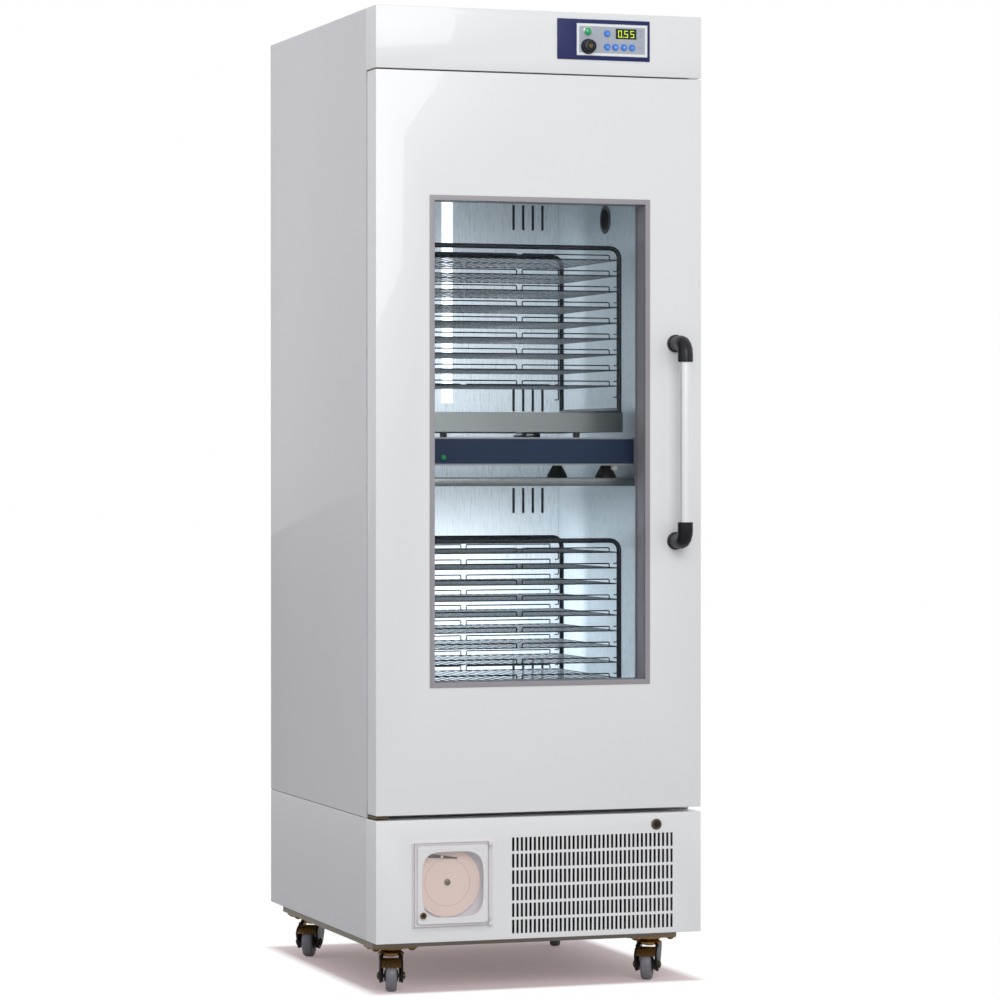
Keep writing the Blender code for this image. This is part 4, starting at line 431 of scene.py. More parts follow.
# %% [markdown]
# ## Soft edges on the sheet metal
#
# Folded and painted sheet has no sharp edge: each fold catches a thin line of light. A copy of the
# packed panel is merged, and only the edges on its outer box are rounded, so slots and seats stay
# exactly where they are. The edges of a panel's open side, which faces its neighbour, stay square.

# %% Rounded folds
FOLD_RADIUS = 0.0010
FOLD_SHARP = math.radians(28)
FOOT_HEIGHT = 0.0255
WELD = 1e-5
ON_BOX = 2e-5
OPEN_FRONT, OPEN_BACK = 0, 1


def folded(node, body, open_side=None, radius=FOLD_RADIUS):
    """Stands for a panel, with its outer edges rounded except those of its open side."""
    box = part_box(node)
    bm = bmesh.new()
    bm.from_mesh(nodes[node].data)
    bmesh.ops.remove_doubles(bm, verts=bm.verts, dist=WELD)
    bmesh.ops.dissolve_limit(bm, angle_limit=math.radians(1), verts=bm.verts, edges=bm.edges)
    chosen = []
    for edge in bm.edges:
        a, b = (v.co for v in edge.verts)
        near = [min(abs(a[i] - box[0][i]), abs(a[i] - box[1][i])) < ON_BOX for i in range(3)]
        sides = [i for i in range(3) if near[i] and abs(a[i] - b[i]) < WELD]
        on_open = open_side is not None and 1 in sides and abs(a.y - box[open_side].y) < ON_BOX
        if len(sides) >= 2 and not on_open and edge.is_manifold and edge.calc_face_angle(0) > 1.0:
            chosen.append(edge)
    bmesh.ops.bevel(bm, geom=chosen, offset=radius, segments=3, affect="EDGES", profile=0.5)
    mesh = shaded(node + "_folded", bm, FOLD_SHARP)
    link(node + "_folded", mesh, DRESS[node], body, [node])
    print(node, "has", len(chosen), "rounded folds")
    return mesh


folded("door_skin", "door", OPEN_BACK)
folded("header_panel", "cabinet", OPEN_BACK)
folded("base_front_panel", "cabinet", OPEN_BACK)
folded("base_cover", "cabinet", OPEN_FRONT)
folded("outer_shell", "cabinet")
folded("window_frame", "door", OPEN_BACK, 0.0006)
folded("control_bezel", "cabinet", OPEN_BACK)
folded("recorder_case", "cabinet", None, 0.0012)
folded("middle_shelf", "cabinet", None, 0.0008)
for level in LEVELS:
    folded(level + "_platform", level + "_carriage", None, 0.0008)
    housing = folded(level + "_agitator_base", "cabinet")
    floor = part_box(level + "_agitator_base")[0].z + FOOT_HEIGHT
    feet = second_finish(housing, foot_rubber, lambda middle: middle.z < floor)
    print(level, "agitator has", feet, "faces of rubber foot")

# %% [markdown]
# ## Geometry Nodes: one way to run a tree
#
# What repeats is grown by Geometry Nodes. Each tree starts with named inputs, and one function
# runs it: it sets the inputs by their identifiers, reads the result back as a plain mesh and
# removes the modifier.

# %% Growing a mesh from a tree
SWEPT_SHARP = math.radians(40)


def blank_tree(name, sizes):
    """A geometry tree with an input for its paths, one for each size, and one for its material."""
    tree = bpy.data.node_groups.new(name, "GeometryNodeTree")
    for way in ("INPUT", "OUTPUT"):
        tree.interface.new_socket("Geometry", in_out=way, socket_type="NodeSocketGeometry")
    for label, kind in {**sizes, "Material": "Material"}.items():
        tree.interface.new_socket(label, in_out="INPUT", socket_type="NodeSocket" + kind)
    return tree, tree.nodes.new("NodeGroupInput").outputs


def close_tree(tree, geometry, given):
    """Ends a tree in Realize Instances and Set Material."""
    real = add(tree, "GeometryNodeRealizeInstances", {0: geometry})
    smooth = add(tree, "GeometryNodeSetShadeSmooth", {0: real.outputs[0]})
    painted = add(tree, "GeometryNodeSetMaterial", {0: smooth.outputs[0], "Material": given["Material"]})
    add(tree, "NodeGroupOutput", {0: painted.outputs[0]})


def grown(name, tree, sizes, look, body, paths=((), ()), replaced=()):
    """Runs a tree on a mesh of points and edges, and keeps the result as a plain mesh."""
    mesh = bpy.data.meshes.new(name)
    mesh.from_pydata(*paths, ())
    obj = bpy.data.objects.new(name, mesh)
    bpy.context.scene.collection.objects.link(obj)
    rule = obj.modifiers.new("rule", "NODES")
    rule.node_group = tree
    for item in tree.interface.items_tree:
        if item.item_type == "SOCKET" and item.in_out == "INPUT" and item.name != "Geometry":
            rule[item.identifier] = look if item.name == "Material" else sizes[item.name]
    graph = bpy.context.evaluated_depsgraph_get()
    result = bpy.data.meshes.new_from_object(obj.evaluated_get(graph))
    obj.modifiers.remove(rule)
    obj.data = result
    result.set_sharp_from_angle(angle=SWEPT_SHARP)
    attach(obj, body)
    if replaced:
        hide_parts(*replaced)
    print(name, "has", len(result.polygons), "faces")


print("trees can be grown")

# %% [markdown]
# ## The grille's bridges
#
# The intake grille is punched in six rows of tall slots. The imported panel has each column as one
# long slot with bars behind it, so small bridges are laid flush in the slots where the rows part:
# a line of points across, a line of points down, and one plate on each.

# %% Grille bridges
SLOT_WIDTH = 0.0050
SLOT_HEIGHT = 0.0275
ROW_GAP = 0.0055
GRILLE_LEFT, GRILLE_RIGHT, GRILLE_TOP = -0.0608, 0.2837, 0.3095
GRILLE_COLUMNS, GRILLE_ROWS = 38, 6
SHEET = 0.0012

plates, given = blank_tree("plates_on_a_grid", {
    "Columns": "Int", "Rows": "Int", "Column Step": "Vector", "Row Step": "Vector",
    "Start": "Vector", "Plate Size": "Vector",
})
across = add(plates, "GeometryNodeMeshLine", {"Count": given["Columns"], "Offset": given["Column Step"]})
down = add(plates, "GeometryNodeMeshLine", {"Count": given["Rows"], "Offset": given["Row Step"]})
grid = add(plates, "GeometryNodeInstanceOnPoints", {"Points": across.outputs[0], "Instance": down.outputs[0]})
spots = add(plates, "GeometryNodeRealizeInstances", {0: grid.outputs[0]})
plate = add(plates, "GeometryNodeMeshCube", {"Size": given["Plate Size"]})
laid = add(plates, "GeometryNodeInstanceOnPoints", {"Points": spots.outputs[0], "Instance": plate.outputs[0]})
moved = add(plates, "GeometryNodeTransform", {"Geometry": laid.outputs[0], "Translation": given["Start"]})
close_tree(plates, moved.outputs[0], given)

column_step = (GRILLE_RIGHT - GRILLE_LEFT - SLOT_WIDTH) / (GRILLE_COLUMNS - 1)
row_step = SLOT_HEIGHT + ROW_GAP
grown("grille_bridges", plates, {
    "Columns": GRILLE_COLUMNS, "Rows": GRILLE_ROWS - 1,
    "Column Step": (column_step, 0, 0), "Row Step": (0, 0, -row_step),
    "Start": (GRILLE_LEFT + SLOT_WIDTH / 2, FRONT_Y + SHEET / 2, GRILLE_TOP - SLOT_HEIGHT - ROW_GAP / 2),
    "Plate Size": (SLOT_WIDTH, SHEET, ROW_GAP),
}, enamel, "cabinet")

# %% [markdown]
# ## Bent rods and wire shelves
#
# Each rack is two bent rods that carry nine wire shelves. A shelf is welded wire: a rim, close
# wires from front to back, two low fences at the front and two at the back, and a bracket at each
# end that hangs down and hooks in. The paths are plain points and edges, and the tree rounds their
# corners, sweeps a circle along them and repeats the shelf down the rack.

# %% Trees for rods and shelves
CORNER_STEPS = 4
ROD_SIZES = {"Bend": "Float", "Thickness": "Float", "Sides": "Int"}


def wired(tree, curve, given):
    """Nodes that sweep a round wire along a curve and close its ends."""
    ring = add(tree, "GeometryNodeCurvePrimitiveCircle", {
        "Resolution": given["Sides"], "Radius": given["Thickness"],
    })
    return add(tree, "GeometryNodeCurveToMesh", {
        "Curve": curve.outputs[0], "Profile Curve": ring.outputs[0], "Fill Caps": True,
    }).outputs[0]


def swept(tree, given):
    """Nodes that round the corners of the paths before the wire is swept along them."""
    curve = add(tree, "GeometryNodeMeshToCurve", {0: given["Geometry"]})
    soft = add(tree, "GeometryNodeFilletCurve", {"Curve": curve.outputs[0], "Radius": given["Bend"]})
    if "Mode" in soft.inputs:
        soft.inputs["Mode"].default_value = "Poly"
        soft.inputs["Limit Radius"].default_value = True
    else:
        soft.mode = "POLY"
    soft.inputs["Count"].default_value = CORNER_STEPS
    return wired(tree, soft, given)


rods, given = blank_tree("bent_rods", ROD_SIZES)
close_tree(rods, swept(rods, given), given)

shelves, given = blank_tree("wire_shelves", {
    **ROD_SIZES, "Wires": "Int", "Wire Step": "Vector", "First Wire": "Vector", "Wire Run": "Vector",
    "Shelves": "Int", "Shelf Step": "Vector",
})
outline = swept(shelves, given)
row = add(shelves, "GeometryNodeMeshLine", {
    "Count": given["Wires"], "Start Location": given["First Wire"], "Offset": given["Wire Step"],
})
wire = add(shelves, "GeometryNodeCurvePrimitiveLine", {"End": given["Wire Run"]})
deck = add(shelves, "GeometryNodeInstanceOnPoints", {
    "Points": row.outputs[0], "Instance": wired(shelves, wire, given),
})
whole = add(shelves, "GeometryNodeJoinGeometry")
for part in (deck.outputs[0], outline):
    shelves.links.new(part, whole.inputs[0])
levels = add(shelves, "GeometryNodeMeshLine", {"Count": given["Shelves"], "Offset": given["Shelf Step"]})
stack = add(shelves, "GeometryNodeInstanceOnPoints", {
    "Points": levels.outputs[0], "Instance": whole.outputs[0],
})
close_tree(shelves, stack.outputs[0], given)
print("trees for rods and shelves ready")

# %% [markdown]
# ## The two racks
#
# A rack is a stack of equal shelves in a frame, so one shelf's paths and a step down are all that
# the trees need. The paths come from the rack's own box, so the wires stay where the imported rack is.

# %% Racks
SHELF_COUNT = 9
SHELF_STEP = 0.0323
TOP_DROP = 0.023
WIRE, WIRE_BEND, WIRE_SIDES = 0.0013, 0.0025, 6
ROD, ROD_BEND, ROD_SIDES = 0.005, 0.020, 16
ROD_INSET = 0.003
WIRES_ACROSS = 23
DECK_INSET, RIM_REACH = 0.002, 0.0015
FENCE_TOP = 0.0095
FENCE_SPAN = (0.006, 0.195)
BRACKET_INSET = 0.001
BRACKET_REACH = 0.012
BRACKET_DROP = 0.023
BRACKET_HOOK = 0.008
RIM_LAP = 0.0001


def chained(*runs):
    """Points and edges of separate open paths."""
    points, edges = [], []
    for run in runs:
        edges += [(len(points) + i, len(points) + i + 1) for i in range(len(run) - 1)]
        points += run
    return points, edges


def rack_frame(low, high):
    """Two bent rods that stand on the platform and the base rods that tie them."""
    runs = []
    top = high.z - ROD
    x0, x1 = low.x + ROD, high.x - ROD
    front, back = low.y + ROD_INSET + ROD, high.y - ROD_INSET - ROD
    for y in (front, back):
        runs.append([(x0, y, low.z), (x0, y, top), (x1, y, top), (x1, y, low.z)])
    for x in (x0, x1):
        runs.append([(x, front, low.z + ROD), (x, back, low.z + ROD)])
    return chained(*runs)


def shelf_paths(low, high, level):
    """Rim, fences and end brackets of one wire shelf."""
    half = high.x - 2 * ROD + RIM_REACH - WIRE
    y0, y1 = low.y + WIRE, high.y - WIRE
    top, foot = level + FENCE_TOP, level - BRACKET_DROP
    rim = [(x, y, level) for x, y in ((-half, y0), (half, y0), (half, y1), (-half, y1))]
    runs = [rim + [(-half, y0, level + RIM_LAP)]]
    for y in (y0, y1):
        for side in (-1, 1):
            near, far = (side * x for x in FENCE_SPAN)
            runs.append([(near, y, level), (near, y, top), (far, y, top), (far, y, level)])
    for side in (-1, 1):
        for y in (y0 + 2 * WIRE, y1 - 2 * WIRE):
            end = side * (half - BRACKET_INSET)
            start, hook = end - side * BRACKET_REACH, end - side * BRACKET_HOOK
            runs.append([(start, y, level), (end, y, level), (end, y, foot), (hook, y, foot)])
    return chained(*runs)


for level in LEVELS:
    rack = level + "_rack"
    body = level + "_carriage"
    low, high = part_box(rack)
    top = high.z - ROD - TOP_DROP - WIRE
    width = 2 * (high.x - 2 * ROD - DECK_INSET)
    rod_sizes = {"Bend": ROD_BEND, "Thickness": ROD, "Sides": ROD_SIDES}
    grown(rack + "_frame", rods, rod_sizes, wire_steel, body, rack_frame(low, high), [rack])
    grown(rack + "_shelves", shelves, {
        "Bend": WIRE_BEND, "Thickness": WIRE, "Sides": WIRE_SIDES, "Wires": WIRES_ACROSS,
        "Wire Step": (width / (WIRES_ACROSS - 1), 0, 0), "First Wire": (-width / 2, low.y + WIRE, top),
        "Wire Run": (0, high.y - low.y - 2 * WIRE, 0),
        "Shelves": SHELF_COUNT, "Shelf Step": (0, 0, -SHELF_STEP),
    }, wire_steel, body, shelf_paths(low, high, top))

# %% [markdown]
# ## Agitator fascias
#
# Each agitator's housing has a navy film on its front, set in from the edges so that a pale edge
# stays, a green lamp at the left and a small white foot under the right end. The film is plain:
# one thin slab with softened edges is enough, and lamp and foot are turned.

# %% Fascias, lamps and feet
FILM_INSET = 0.0036
FILM_PROUD, FILM_SUNK = 0.0006, 0.0004
PLATE_FOOT, PLATE_HEAD = 0.0257, 0.0277
LAMP_X, LAMP_UP = -0.1677, 0.0160
FOOT_X, FOOT_BACK, FOOT_LENGTH = 0.205, 0.012, 0.0092
for level in LEVELS:
    low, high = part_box(level + "_agitator_base")
    floor = low.z + PLATE_FOOT
    bm = bmesh.new()
    slab(bm, (low.x + FILM_INSET, low.y - FILM_PROUD, floor + FILM_INSET),
         (high.x - FILM_INSET * 2, low.y + FILM_SUNK, high.z - PLATE_HEAD - FILM_INSET), 0.0003)
    piece(level + "_fascia_film", bm, navy, "cabinet")
    lens = [(0, -0.0052), (0.0030, -0.0048), (0.0052, -0.0030), (0.0058, -0.0012), (0.0058, 0.0)]
    bm = turned(lens, (LAMP_X, low.y - FILM_PROUD, floor + LAMP_UP))
    piece(level + "_fascia_lamp", bm, green_lens, "cabinet")
    foot = [(0, 0.0), (0.0062, 0.0), (0.0070, 0.0010), (0.0070, 0.0090), (0, 0.0090)]
    bm = turned(foot, (FOOT_X, low.y + FOOT_BACK, floor - FOOT_LENGTH), "z", 24)
    piece(level + "_fascia_foot", bm, white_print, "cabinet")
print("fascias made")

# %% [markdown]
# ## The handle
#
# The handle is a satin bar between two black moulded elbows. The elbow is swept along a bent
# path with many sides, so its gloss runs round it without facets, and ends in a round foot.

# %% Handle
BAR_RADIUS, BAR_EDGE = 0.0115, 0.001
ELBOW_RADIUS, ELBOW_BEND, ELBOW_SIDES = 0.0155, 0.024, 32
FOOT_FROM_END = 0.018
low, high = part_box("handle_bar")
bar_x, bar_y = (low.x + high.x) / 2, (low.y + high.y) / 2
face = BAR_RADIUS - BAR_EDGE
bar = [(0, low.z), (face, low.z), (BAR_RADIUS, low.z + BAR_EDGE), (BAR_RADIUS, high.z - BAR_EDGE),
       (face, high.z), (0, high.z)]
piece("handle_grip", turned(bar, (bar_x, bar_y, 0), "z", 64), satin_bar, "door", ["handle_bar"])
foot = [(0, -0.0085), (0.0150, -0.0085), (0.0172, -0.0070), (0.0180, -0.0045), (0.0180, -0.0003),
        (0, -0.0003)]
for end, inward in (("upper", -1), ("lower", 1)):
    low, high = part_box("handle_elbow_" + end)
    out, mouth = (low.z, high.z)[::inward]
    foot_z = out + inward * FOOT_FROM_END
    path = chained([(bar_x, FRONT_Y - 0.004, foot_z), (bar_x, bar_y, foot_z), (bar_x, bar_y, mouth)])
    elbow_sizes = {"Bend": ELBOW_BEND, "Thickness": ELBOW_RADIUS, "Sides": ELBOW_SIDES}
    grown("handle_elbow_" + end + "_moulding", rods, elbow_sizes, black_plastic, "door", path,
          ["handle_elbow_" + end])
    piece("handle_foot_" + end, turned(foot, (bar_x, FRONT_Y, foot_z)), black_plastic, "door")
    collar = [(BAR_RADIUS + 0.0003, 0.0016), (ELBOW_RADIUS - 0.0012, 0.0016),
              (ELBOW_RADIUS - 0.0004, 0.0008), (ELBOW_RADIUS - 0.0004, -0.0010)]
    collar = [(radius, inward * distance) for radius, distance in collar]
    piece("handle_collar_" + end, turned(collar, (bar_x, bar_y, mouth), "z"), black_plastic, "door")

# %% [markdown]
# ## The control panel
#
# A navy bezel frames a silver film with a white border and a few printed marks. The square at the
# left of the bezel stays bare. Ink lies on the film as thin slabs, so it needs no image.

# %% Panel prints
INK_EDGE = 0.00004
BORDER, BORDER_INSET = 0.0050, 0.0006
MARK_HEIGHT = 0.0009
MARKS = ((0.2100, 1.9300, 0.006), (0.2100, 1.9250, 0.004), (0.2100, 1.9200, 0.006), (0.2080, 1.8960, 0.009))
low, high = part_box("key_face")
film_y = low.y


def printed_frame(bm, x0, x1, z0, z1, width, y0, y1):
    """Four thin bars round a rectangle."""
    slab(bm, (x0, y0, z0), (x1, y1, z0 + width), INK_EDGE)
    slab(bm, (x0, y0, z1 - width), (x1, y1, z1), INK_EDGE)
    slab(bm, (x0, y0, z0 + width), (x0 + width, y1, z1 - width), INK_EDGE)
    slab(bm, (x1 - width, y0, z0 + width), (x1, y1, z1 - width), INK_EDGE)


bm = bmesh.new()
printed_frame(bm, low.x + BORDER_INSET, high.x - BORDER_INSET, low.z + BORDER_INSET, high.z - BORDER_INSET,
              BORDER, film_y - 0.00012, film_y + 0.0001)
piece("film_border", bm, white_print, "cabinet")
bm = bmesh.new()
for x, z, length in MARKS:
    slab(bm, (x, film_y - 0.0001, z), (x + length, film_y + 0.0001, z + MARK_HEIGHT), INK_EDGE)
piece("film_marks", bm, grey_print, "cabinet")
print("film is", round(1000 * (high.x - low.x)), "mm wide")

# %% [markdown]
# ## The display
#
# Each lime digit is drawn by the rule of a seven-segment display: three bars across and four
# upright, lit or left out. A small square stands for the decimal point.

# %% Display digits
SEGMENTS = {"0": "abcdef", "5": "acdfg"}
SHOWN = "055"
DIGIT_WIDTH, DIGIT_HEIGHT = 0.0082, 0.0142
DIGIT_STEP = 0.0132
FIRST_DIGIT_X = 0.1643
STROKE = 0.0019
STROKE_GAP = 0.00035
SCREEN_Z = (1.9134, 1.9336)
POINT_LEFT, POINT_RIGHT = 0.0031, 0.0013
POINT_Z = (1.9166, 1.9184)
DIGIT_PROUD, DIGIT_SUNK = 0.00025, 0.0001
digits_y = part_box("display_board")[0].y
digits_z = (sum(SCREEN_Z) - DIGIT_HEIGHT) / 2


def lit(bm, x0, z0, x1, z1):
    """Adds one lit bar or point of the display."""
    slab(bm, (x0, digits_y - DIGIT_PROUD, z0), (x1, digits_y + DIGIT_SUNK, z1), 0.0001)


bm = bmesh.new()
w, h, s = DIGIT_WIDTH, DIGIT_HEIGHT, STROKE
bars = {
    "a": (0, h - s, w, h), "d": (0, 0, w, s), "g": (0, (h - s) / 2, w, (h + s) / 2),
    "b": (w - s, h / 2, w, h), "c": (w - s, 0, w, h / 2), "e": (0, 0, s, h / 2), "f": (0, h / 2, s, h),
}
for index, digit in enumerate(SHOWN):
    x = FIRST_DIGIT_X + index * DIGIT_STEP
    for segment in SEGMENTS[digit]:
        u0, v0, u1, v1 = bars[segment]
        lit(bm, x + u0 + STROKE_GAP, digits_z + v0 + STROKE_GAP,
            x + u1 - STROKE_GAP, digits_z + v1 - STROKE_GAP)
point_x = FIRST_DIGIT_X + DIGIT_STEP
lit(bm, point_x - POINT_LEFT, POINT_Z[0], point_x - POINT_RIGHT, POINT_Z[1])
piece("display_digits", bm, digit_glow, "cabinet")
print("digits stand", DIGIT_HEIGHT * 1000, "mm high")

# %% [markdown]
# ## Lamp, key switch and keys
#
# The lamp is a green dome in a chrome ring, and the switch is a thick black knob with a dark lock
# barrel in it. All are turned shapes, so each is a short profile spun about its own axis. A key is
# a shallow dome with a pale mark: two of them are arrows, and the rest carry a bar.

# %% Lamp and key switch
low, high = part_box("pilot_lamp")
place = ((low.x + high.x) / 2, 0, (low.z + high.z) / 2)
dome = [(0, low.y), (0.0035, low.y + 0.0003), (0.0062, low.y + 0.0014), (0.0078, low.y + 0.0030),
        (0.0082, film_y - 0.0002)]
piece("pilot_lens", turned(dome, place), green_lens, "cabinet", ["pilot_lamp"])
ring = [(0.0080, film_y - 0.0020), (0.0090, film_y - 0.0016), (0.0090, film_y - 0.0002),
        (0.0080, film_y - 0.0002)]
piece("pilot_ring", turned(ring, place), chrome, "cabinet")

low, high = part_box("key_switch_body")
place = ((low.x + high.x) / 2, 0, (low.z + high.z) / 2)
knob = [(0.0049, low.y + 0.0012), (0.0056, low.y + 0.0002), (0.0100, low.y + 0.0002),
        (0.0120, low.y + 0.0010), (0.0131, low.y + 0.0030), (0.0133, film_y - 0.0036),
        (0.0140, film_y - 0.0030), (0.0152, film_y - 0.0024), (0.0154, film_y - 0.0002),
        (0.0049, film_y - 0.0002), (0.0049, low.y + 0.0012)]
piece("key_switch_knob", turned(knob, place, "y", 64), black_plastic, "cabinet", ["key_switch_body"])
print("lamp and switch made")

# %% [markdown]
# ## The five keys
#
# Each keycap replaces its packed key and rides on the key's own body, so cap and mark go in with
# the key when it is pressed.

# %% Keys
ARROW = 0.0024
BAR_HALF_X, BAR_HALF_Z = 0.0022, 0.0005
for name in KEYS:
    low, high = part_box(name + "_key")
    x, z = (low.x + high.x) / 2, (low.z + high.z) / 2
    front = low.y
    cap = [(0, front + 0.0004), (0.0034, front + 0.0002), (0.0053, front), (0.0064, front + 0.0007),
           (0.0068, front + 0.0018), (0.0068, film_y + 0.0010), (0.0078, film_y + 0.0028),
           (0, film_y + 0.0028)]
    piece(name + "_keycap", turned(cap, (x, 0, z), "y", 40), blue_key, name + "_key", [name + "_key"])
    bm = bmesh.new()
    if name in ("up", "down"):
        tip = ARROW if name == "up" else -ARROW
        shape = [(-ARROW, -tip / 2), (ARROW, -tip / 2), (0, tip)]
        face = bm.faces.new([bm.verts.new((x + u, front + 0.0003, z + v)) for u, v in shape])
        solid = bmesh.ops.extrude_face_region(bm, geom=[face])["geom"]
        raised = [part for part in solid if isinstance(part, bmesh.types.BMVert)]
        bmesh.ops.translate(bm, verts=raised, vec=(0, -0.0002, 0))
    else:
        slab(bm, (x - BAR_HALF_X, front + 0.0001, z - BAR_HALF_Z),
             (x + BAR_HALF_X, front + 0.0005, z + BAR_HALF_Z), 0.0001)
    piece(name + "_mark", bm, key_print, name + "_key")
print(len(KEYS), "keys made")

# %% [markdown]
# ## The door lock
#
# Under the door's right corner is a small cam lock. Its face is a weathered ring round a black
# barrel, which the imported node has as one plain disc, so a ring and a barrel face are turned and
# put in front of it. The barrel face rides on the lock and turns with it.

# %% Lock face
LOCK_HALF = 0.0095
low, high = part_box("door_lock")
place = (high.x - LOCK_HALF, FRONT_Y, (low.z + high.z) / 2)
rim = [(0.0056, -0.0034), (0.0092, -0.0036), (0.0110, -0.0020), (0.0110, -0.0002)]
piece("door_lock_rim", turned(rim, place), dark_zinc, "cabinet")
barrel = [(0, -0.0038), (0.0064, -0.0038), (0.0070, -0.0030), (0.0070, -0.0010)]
piece("door_lock_barrel_face", turned(barrel, place), black_plastic, "lock")
print("lock at", round(place[0], 4), round(place[2], 4))

# %% [markdown]
# ## The recorder's mask
#
# Behind the clear lid is a white mask with a window whose four sides bulge, which a superellipse
# gives with one formula. Rings of points are drawn round the window and the mask's edge, front and
# back, and each ring is joined to the next.

# %% Recorder mask
WINDOW_HALF_X, WINDOW_HALF_Z, BULGE = 0.0645, 0.0655, 4.0
MASK_HALF_X, MASK_HALF_Z, SQUARENESS = 0.0730, 0.0775, 40.0
MASK_BEHIND, MASK_THICK = 0.0034, 0.0016
MASK_POINTS = 96
WINDOW_SHIFT = 0.0010
lid_low, lid_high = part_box("recorder_lid")
window_x, window_z = (lid_low.x + lid_high.x) / 2 - WINDOW_SHIFT, (lid_low.z + lid_high.z) / 2
mask_y = lid_low.y + MASK_BEHIND


def superellipse(half_x, half_z, power):
    """Points round a rectangle with bulging sides."""
    points = []
    for i in range(MASK_POINTS):
        a = math.tau * i / MASK_POINTS
        c, s = math.cos(a), math.sin(a)
        u = math.copysign(abs(c) ** (2 / power), c) * half_x
        v = math.copysign(abs(s) ** (2 / power), s) * half_z
        points.append((u, v))
    return points


def lofted(bm, rings, looped=False):
    """Joins rings of points, each to the next; the ends are closed, or joined if they loop."""
    rings = [[bm.verts.new(point) for point in ring] for ring in rings]
    following = rings[1:] + rings[:1] if looped else rings[1:]
    for a, b in zip(rings, following):
        for i in range(len(a)):
            j = (i + 1) % len(a)
            bm.faces.new([a[i], a[j], b[j], b[i]])
    if not looped:
        bm.faces.new(rings[0])
        bm.faces.new(rings[-1])


inner = superellipse(WINDOW_HALF_X, WINDOW_HALF_Z, BULGE)
outer = superellipse(MASK_HALF_X, MASK_HALF_Z, SQUARENESS)
mask_back = mask_y + MASK_THICK
bm = bmesh.new()
lofted(bm, [
    [(window_x + u, y, window_z + v) for u, v in points]
    for points, y in ((outer, mask_y), (inner, mask_y), (inner, mask_back), (outer, mask_back))
], looped=True)
piece("recorder_mask", bm, mask_white, "recorder_lid")
print("mask window is", 2000 * WINDOW_HALF_X, "mm wide")

# %% [markdown]
# ## Chart, hub and pen
#
# The chart turns under a metal hub, so disc and hub ride on the chart's body. The pen arm is a
# flat strip that starts at a black weight and passes a small screw, and all three ride on the
# pen's body. The round ones are turned, and the arm is a slab that is tilted before it is placed.

# %% Chart and pen
CHART_EDGE, CHART_HOLE = 0.0690, 0.0036
PEN_PIVOT = (-0.2480, 0, 0.2790)
PEN_SCREW = (-0.2050, 0, 0.2745)
ARM_LENGTH, ARM_HALF = 0.0560, 0.0024
PEN_TILT = math.radians(6)
hub_place = (chart_centre.x, chart_low.y, chart_centre.z)
hub = [(0, -0.0040), (0.0030, -0.0040), (0.0044, -0.0030), (0.0060, -0.0028), (0.0066, -0.0002), (0, -0.0002)]
piece("chart_hub", turned(hub, hub_place, "y", 32), dark_zinc, "chart")
disc = [(CHART_HOLE, chart_low.y), (CHART_EDGE, chart_low.y), (CHART_EDGE, chart_high.y),
        (CHART_HOLE, chart_high.y), (CHART_HOLE, chart_low.y)]
bm = turned(disc, (chart_centre.x, 0, chart_centre.z), "y", 96)
piece("chart_disc", bm, chart_paper, "chart", ["recorder_chart"])

pen_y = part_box("recorder_pen")[0].y
weight = [(0, pen_y - 0.0020), (0.0042, pen_y - 0.0020), (0.0050, pen_y - 0.0010), (0.0050, pen_y + 0.0002)]
piece("pen_weight", turned(weight, PEN_PIVOT, "y", 24), black_plastic, "pen")
bm = bmesh.new()
slab(bm, (0, pen_y - 0.0008, -ARM_HALF), (ARM_LENGTH, pen_y + 0.0003, ARM_HALF), 0.0003)
tilted = Matrix.Translation(PEN_PIVOT) @ Matrix.Rotation(PEN_TILT, 4, "Y")
bmesh.ops.transform(bm, matrix=tilted, verts=bm.verts)
piece("pen_arm", bm, black_plastic, "pen")
screw = [(0, pen_y - 0.0016), (0.0022, pen_y - 0.0014), (0.0028, pen_y - 0.0006), (0.0028, pen_y)]
piece("pen_screw", turned(screw, PEN_SCREW, "y", 24), white_print, "pen")
print("pen arm is", 1000 * ARM_LENGTH, "mm long")

# %% [markdown]
# ## The lid's seam and lock
#
# The clear lid shows a thin line round its edge, and a small round lock holds it at the lower
# left. Both ride on the lid, so they swing open with it.

# %% Lid seam and lock
SEAM_WIDTH, SEAM_END = 0.0011, 0.0100
LOCK_OFFSET = (0.0200, 0.0240)
bm = bmesh.new()
printed_frame(bm, lid_low.x + BORDER_INSET, lid_high.x - SEAM_END, lid_low.z + BORDER_INSET,
              lid_high.z - BORDER_INSET, SEAM_WIDTH, lid_low.y + 0.0001, lid_low.y + 0.0009)
piece("recorder_lid_seam", bm, case_line, "recorder_lid")
case_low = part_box("recorder_case")[0]
place = (case_low.x + LOCK_OFFSET[0], lid_low.y, case_low.z + LOCK_OFFSET[1])
ring = [(0.0032, -0.0012), (0.0056, -0.0014), (0.0066, -0.0008), (0.0066, 0.0006)]
piece("recorder_lock_ring", turned(ring, place, "y", 32), dark_zinc, "recorder_lid")
core = [(0, -0.0008), (0.0034, -0.0008), (0.0034, 0.0006)]
piece("recorder_lock_core", turned(core, place, "y", 24), black_plastic, "recorder_lid")
print("recorder made")

# %% [markdown]
# ## Casters
#
# The tyre is a turned ring with rounded shoulders on a darker hub. A pressed cheek on each side
# thickens the fork: its outline is drawn from the side, wide at the crown and round at the axle,
# and pulled through to a plate. A bronze hood bends over the wheel between the cheeks. Cheeks and
# hood ride on the fork, so they swivel but don't roll. All are made about the x axis and then
# turned onto the wheel's own axle.

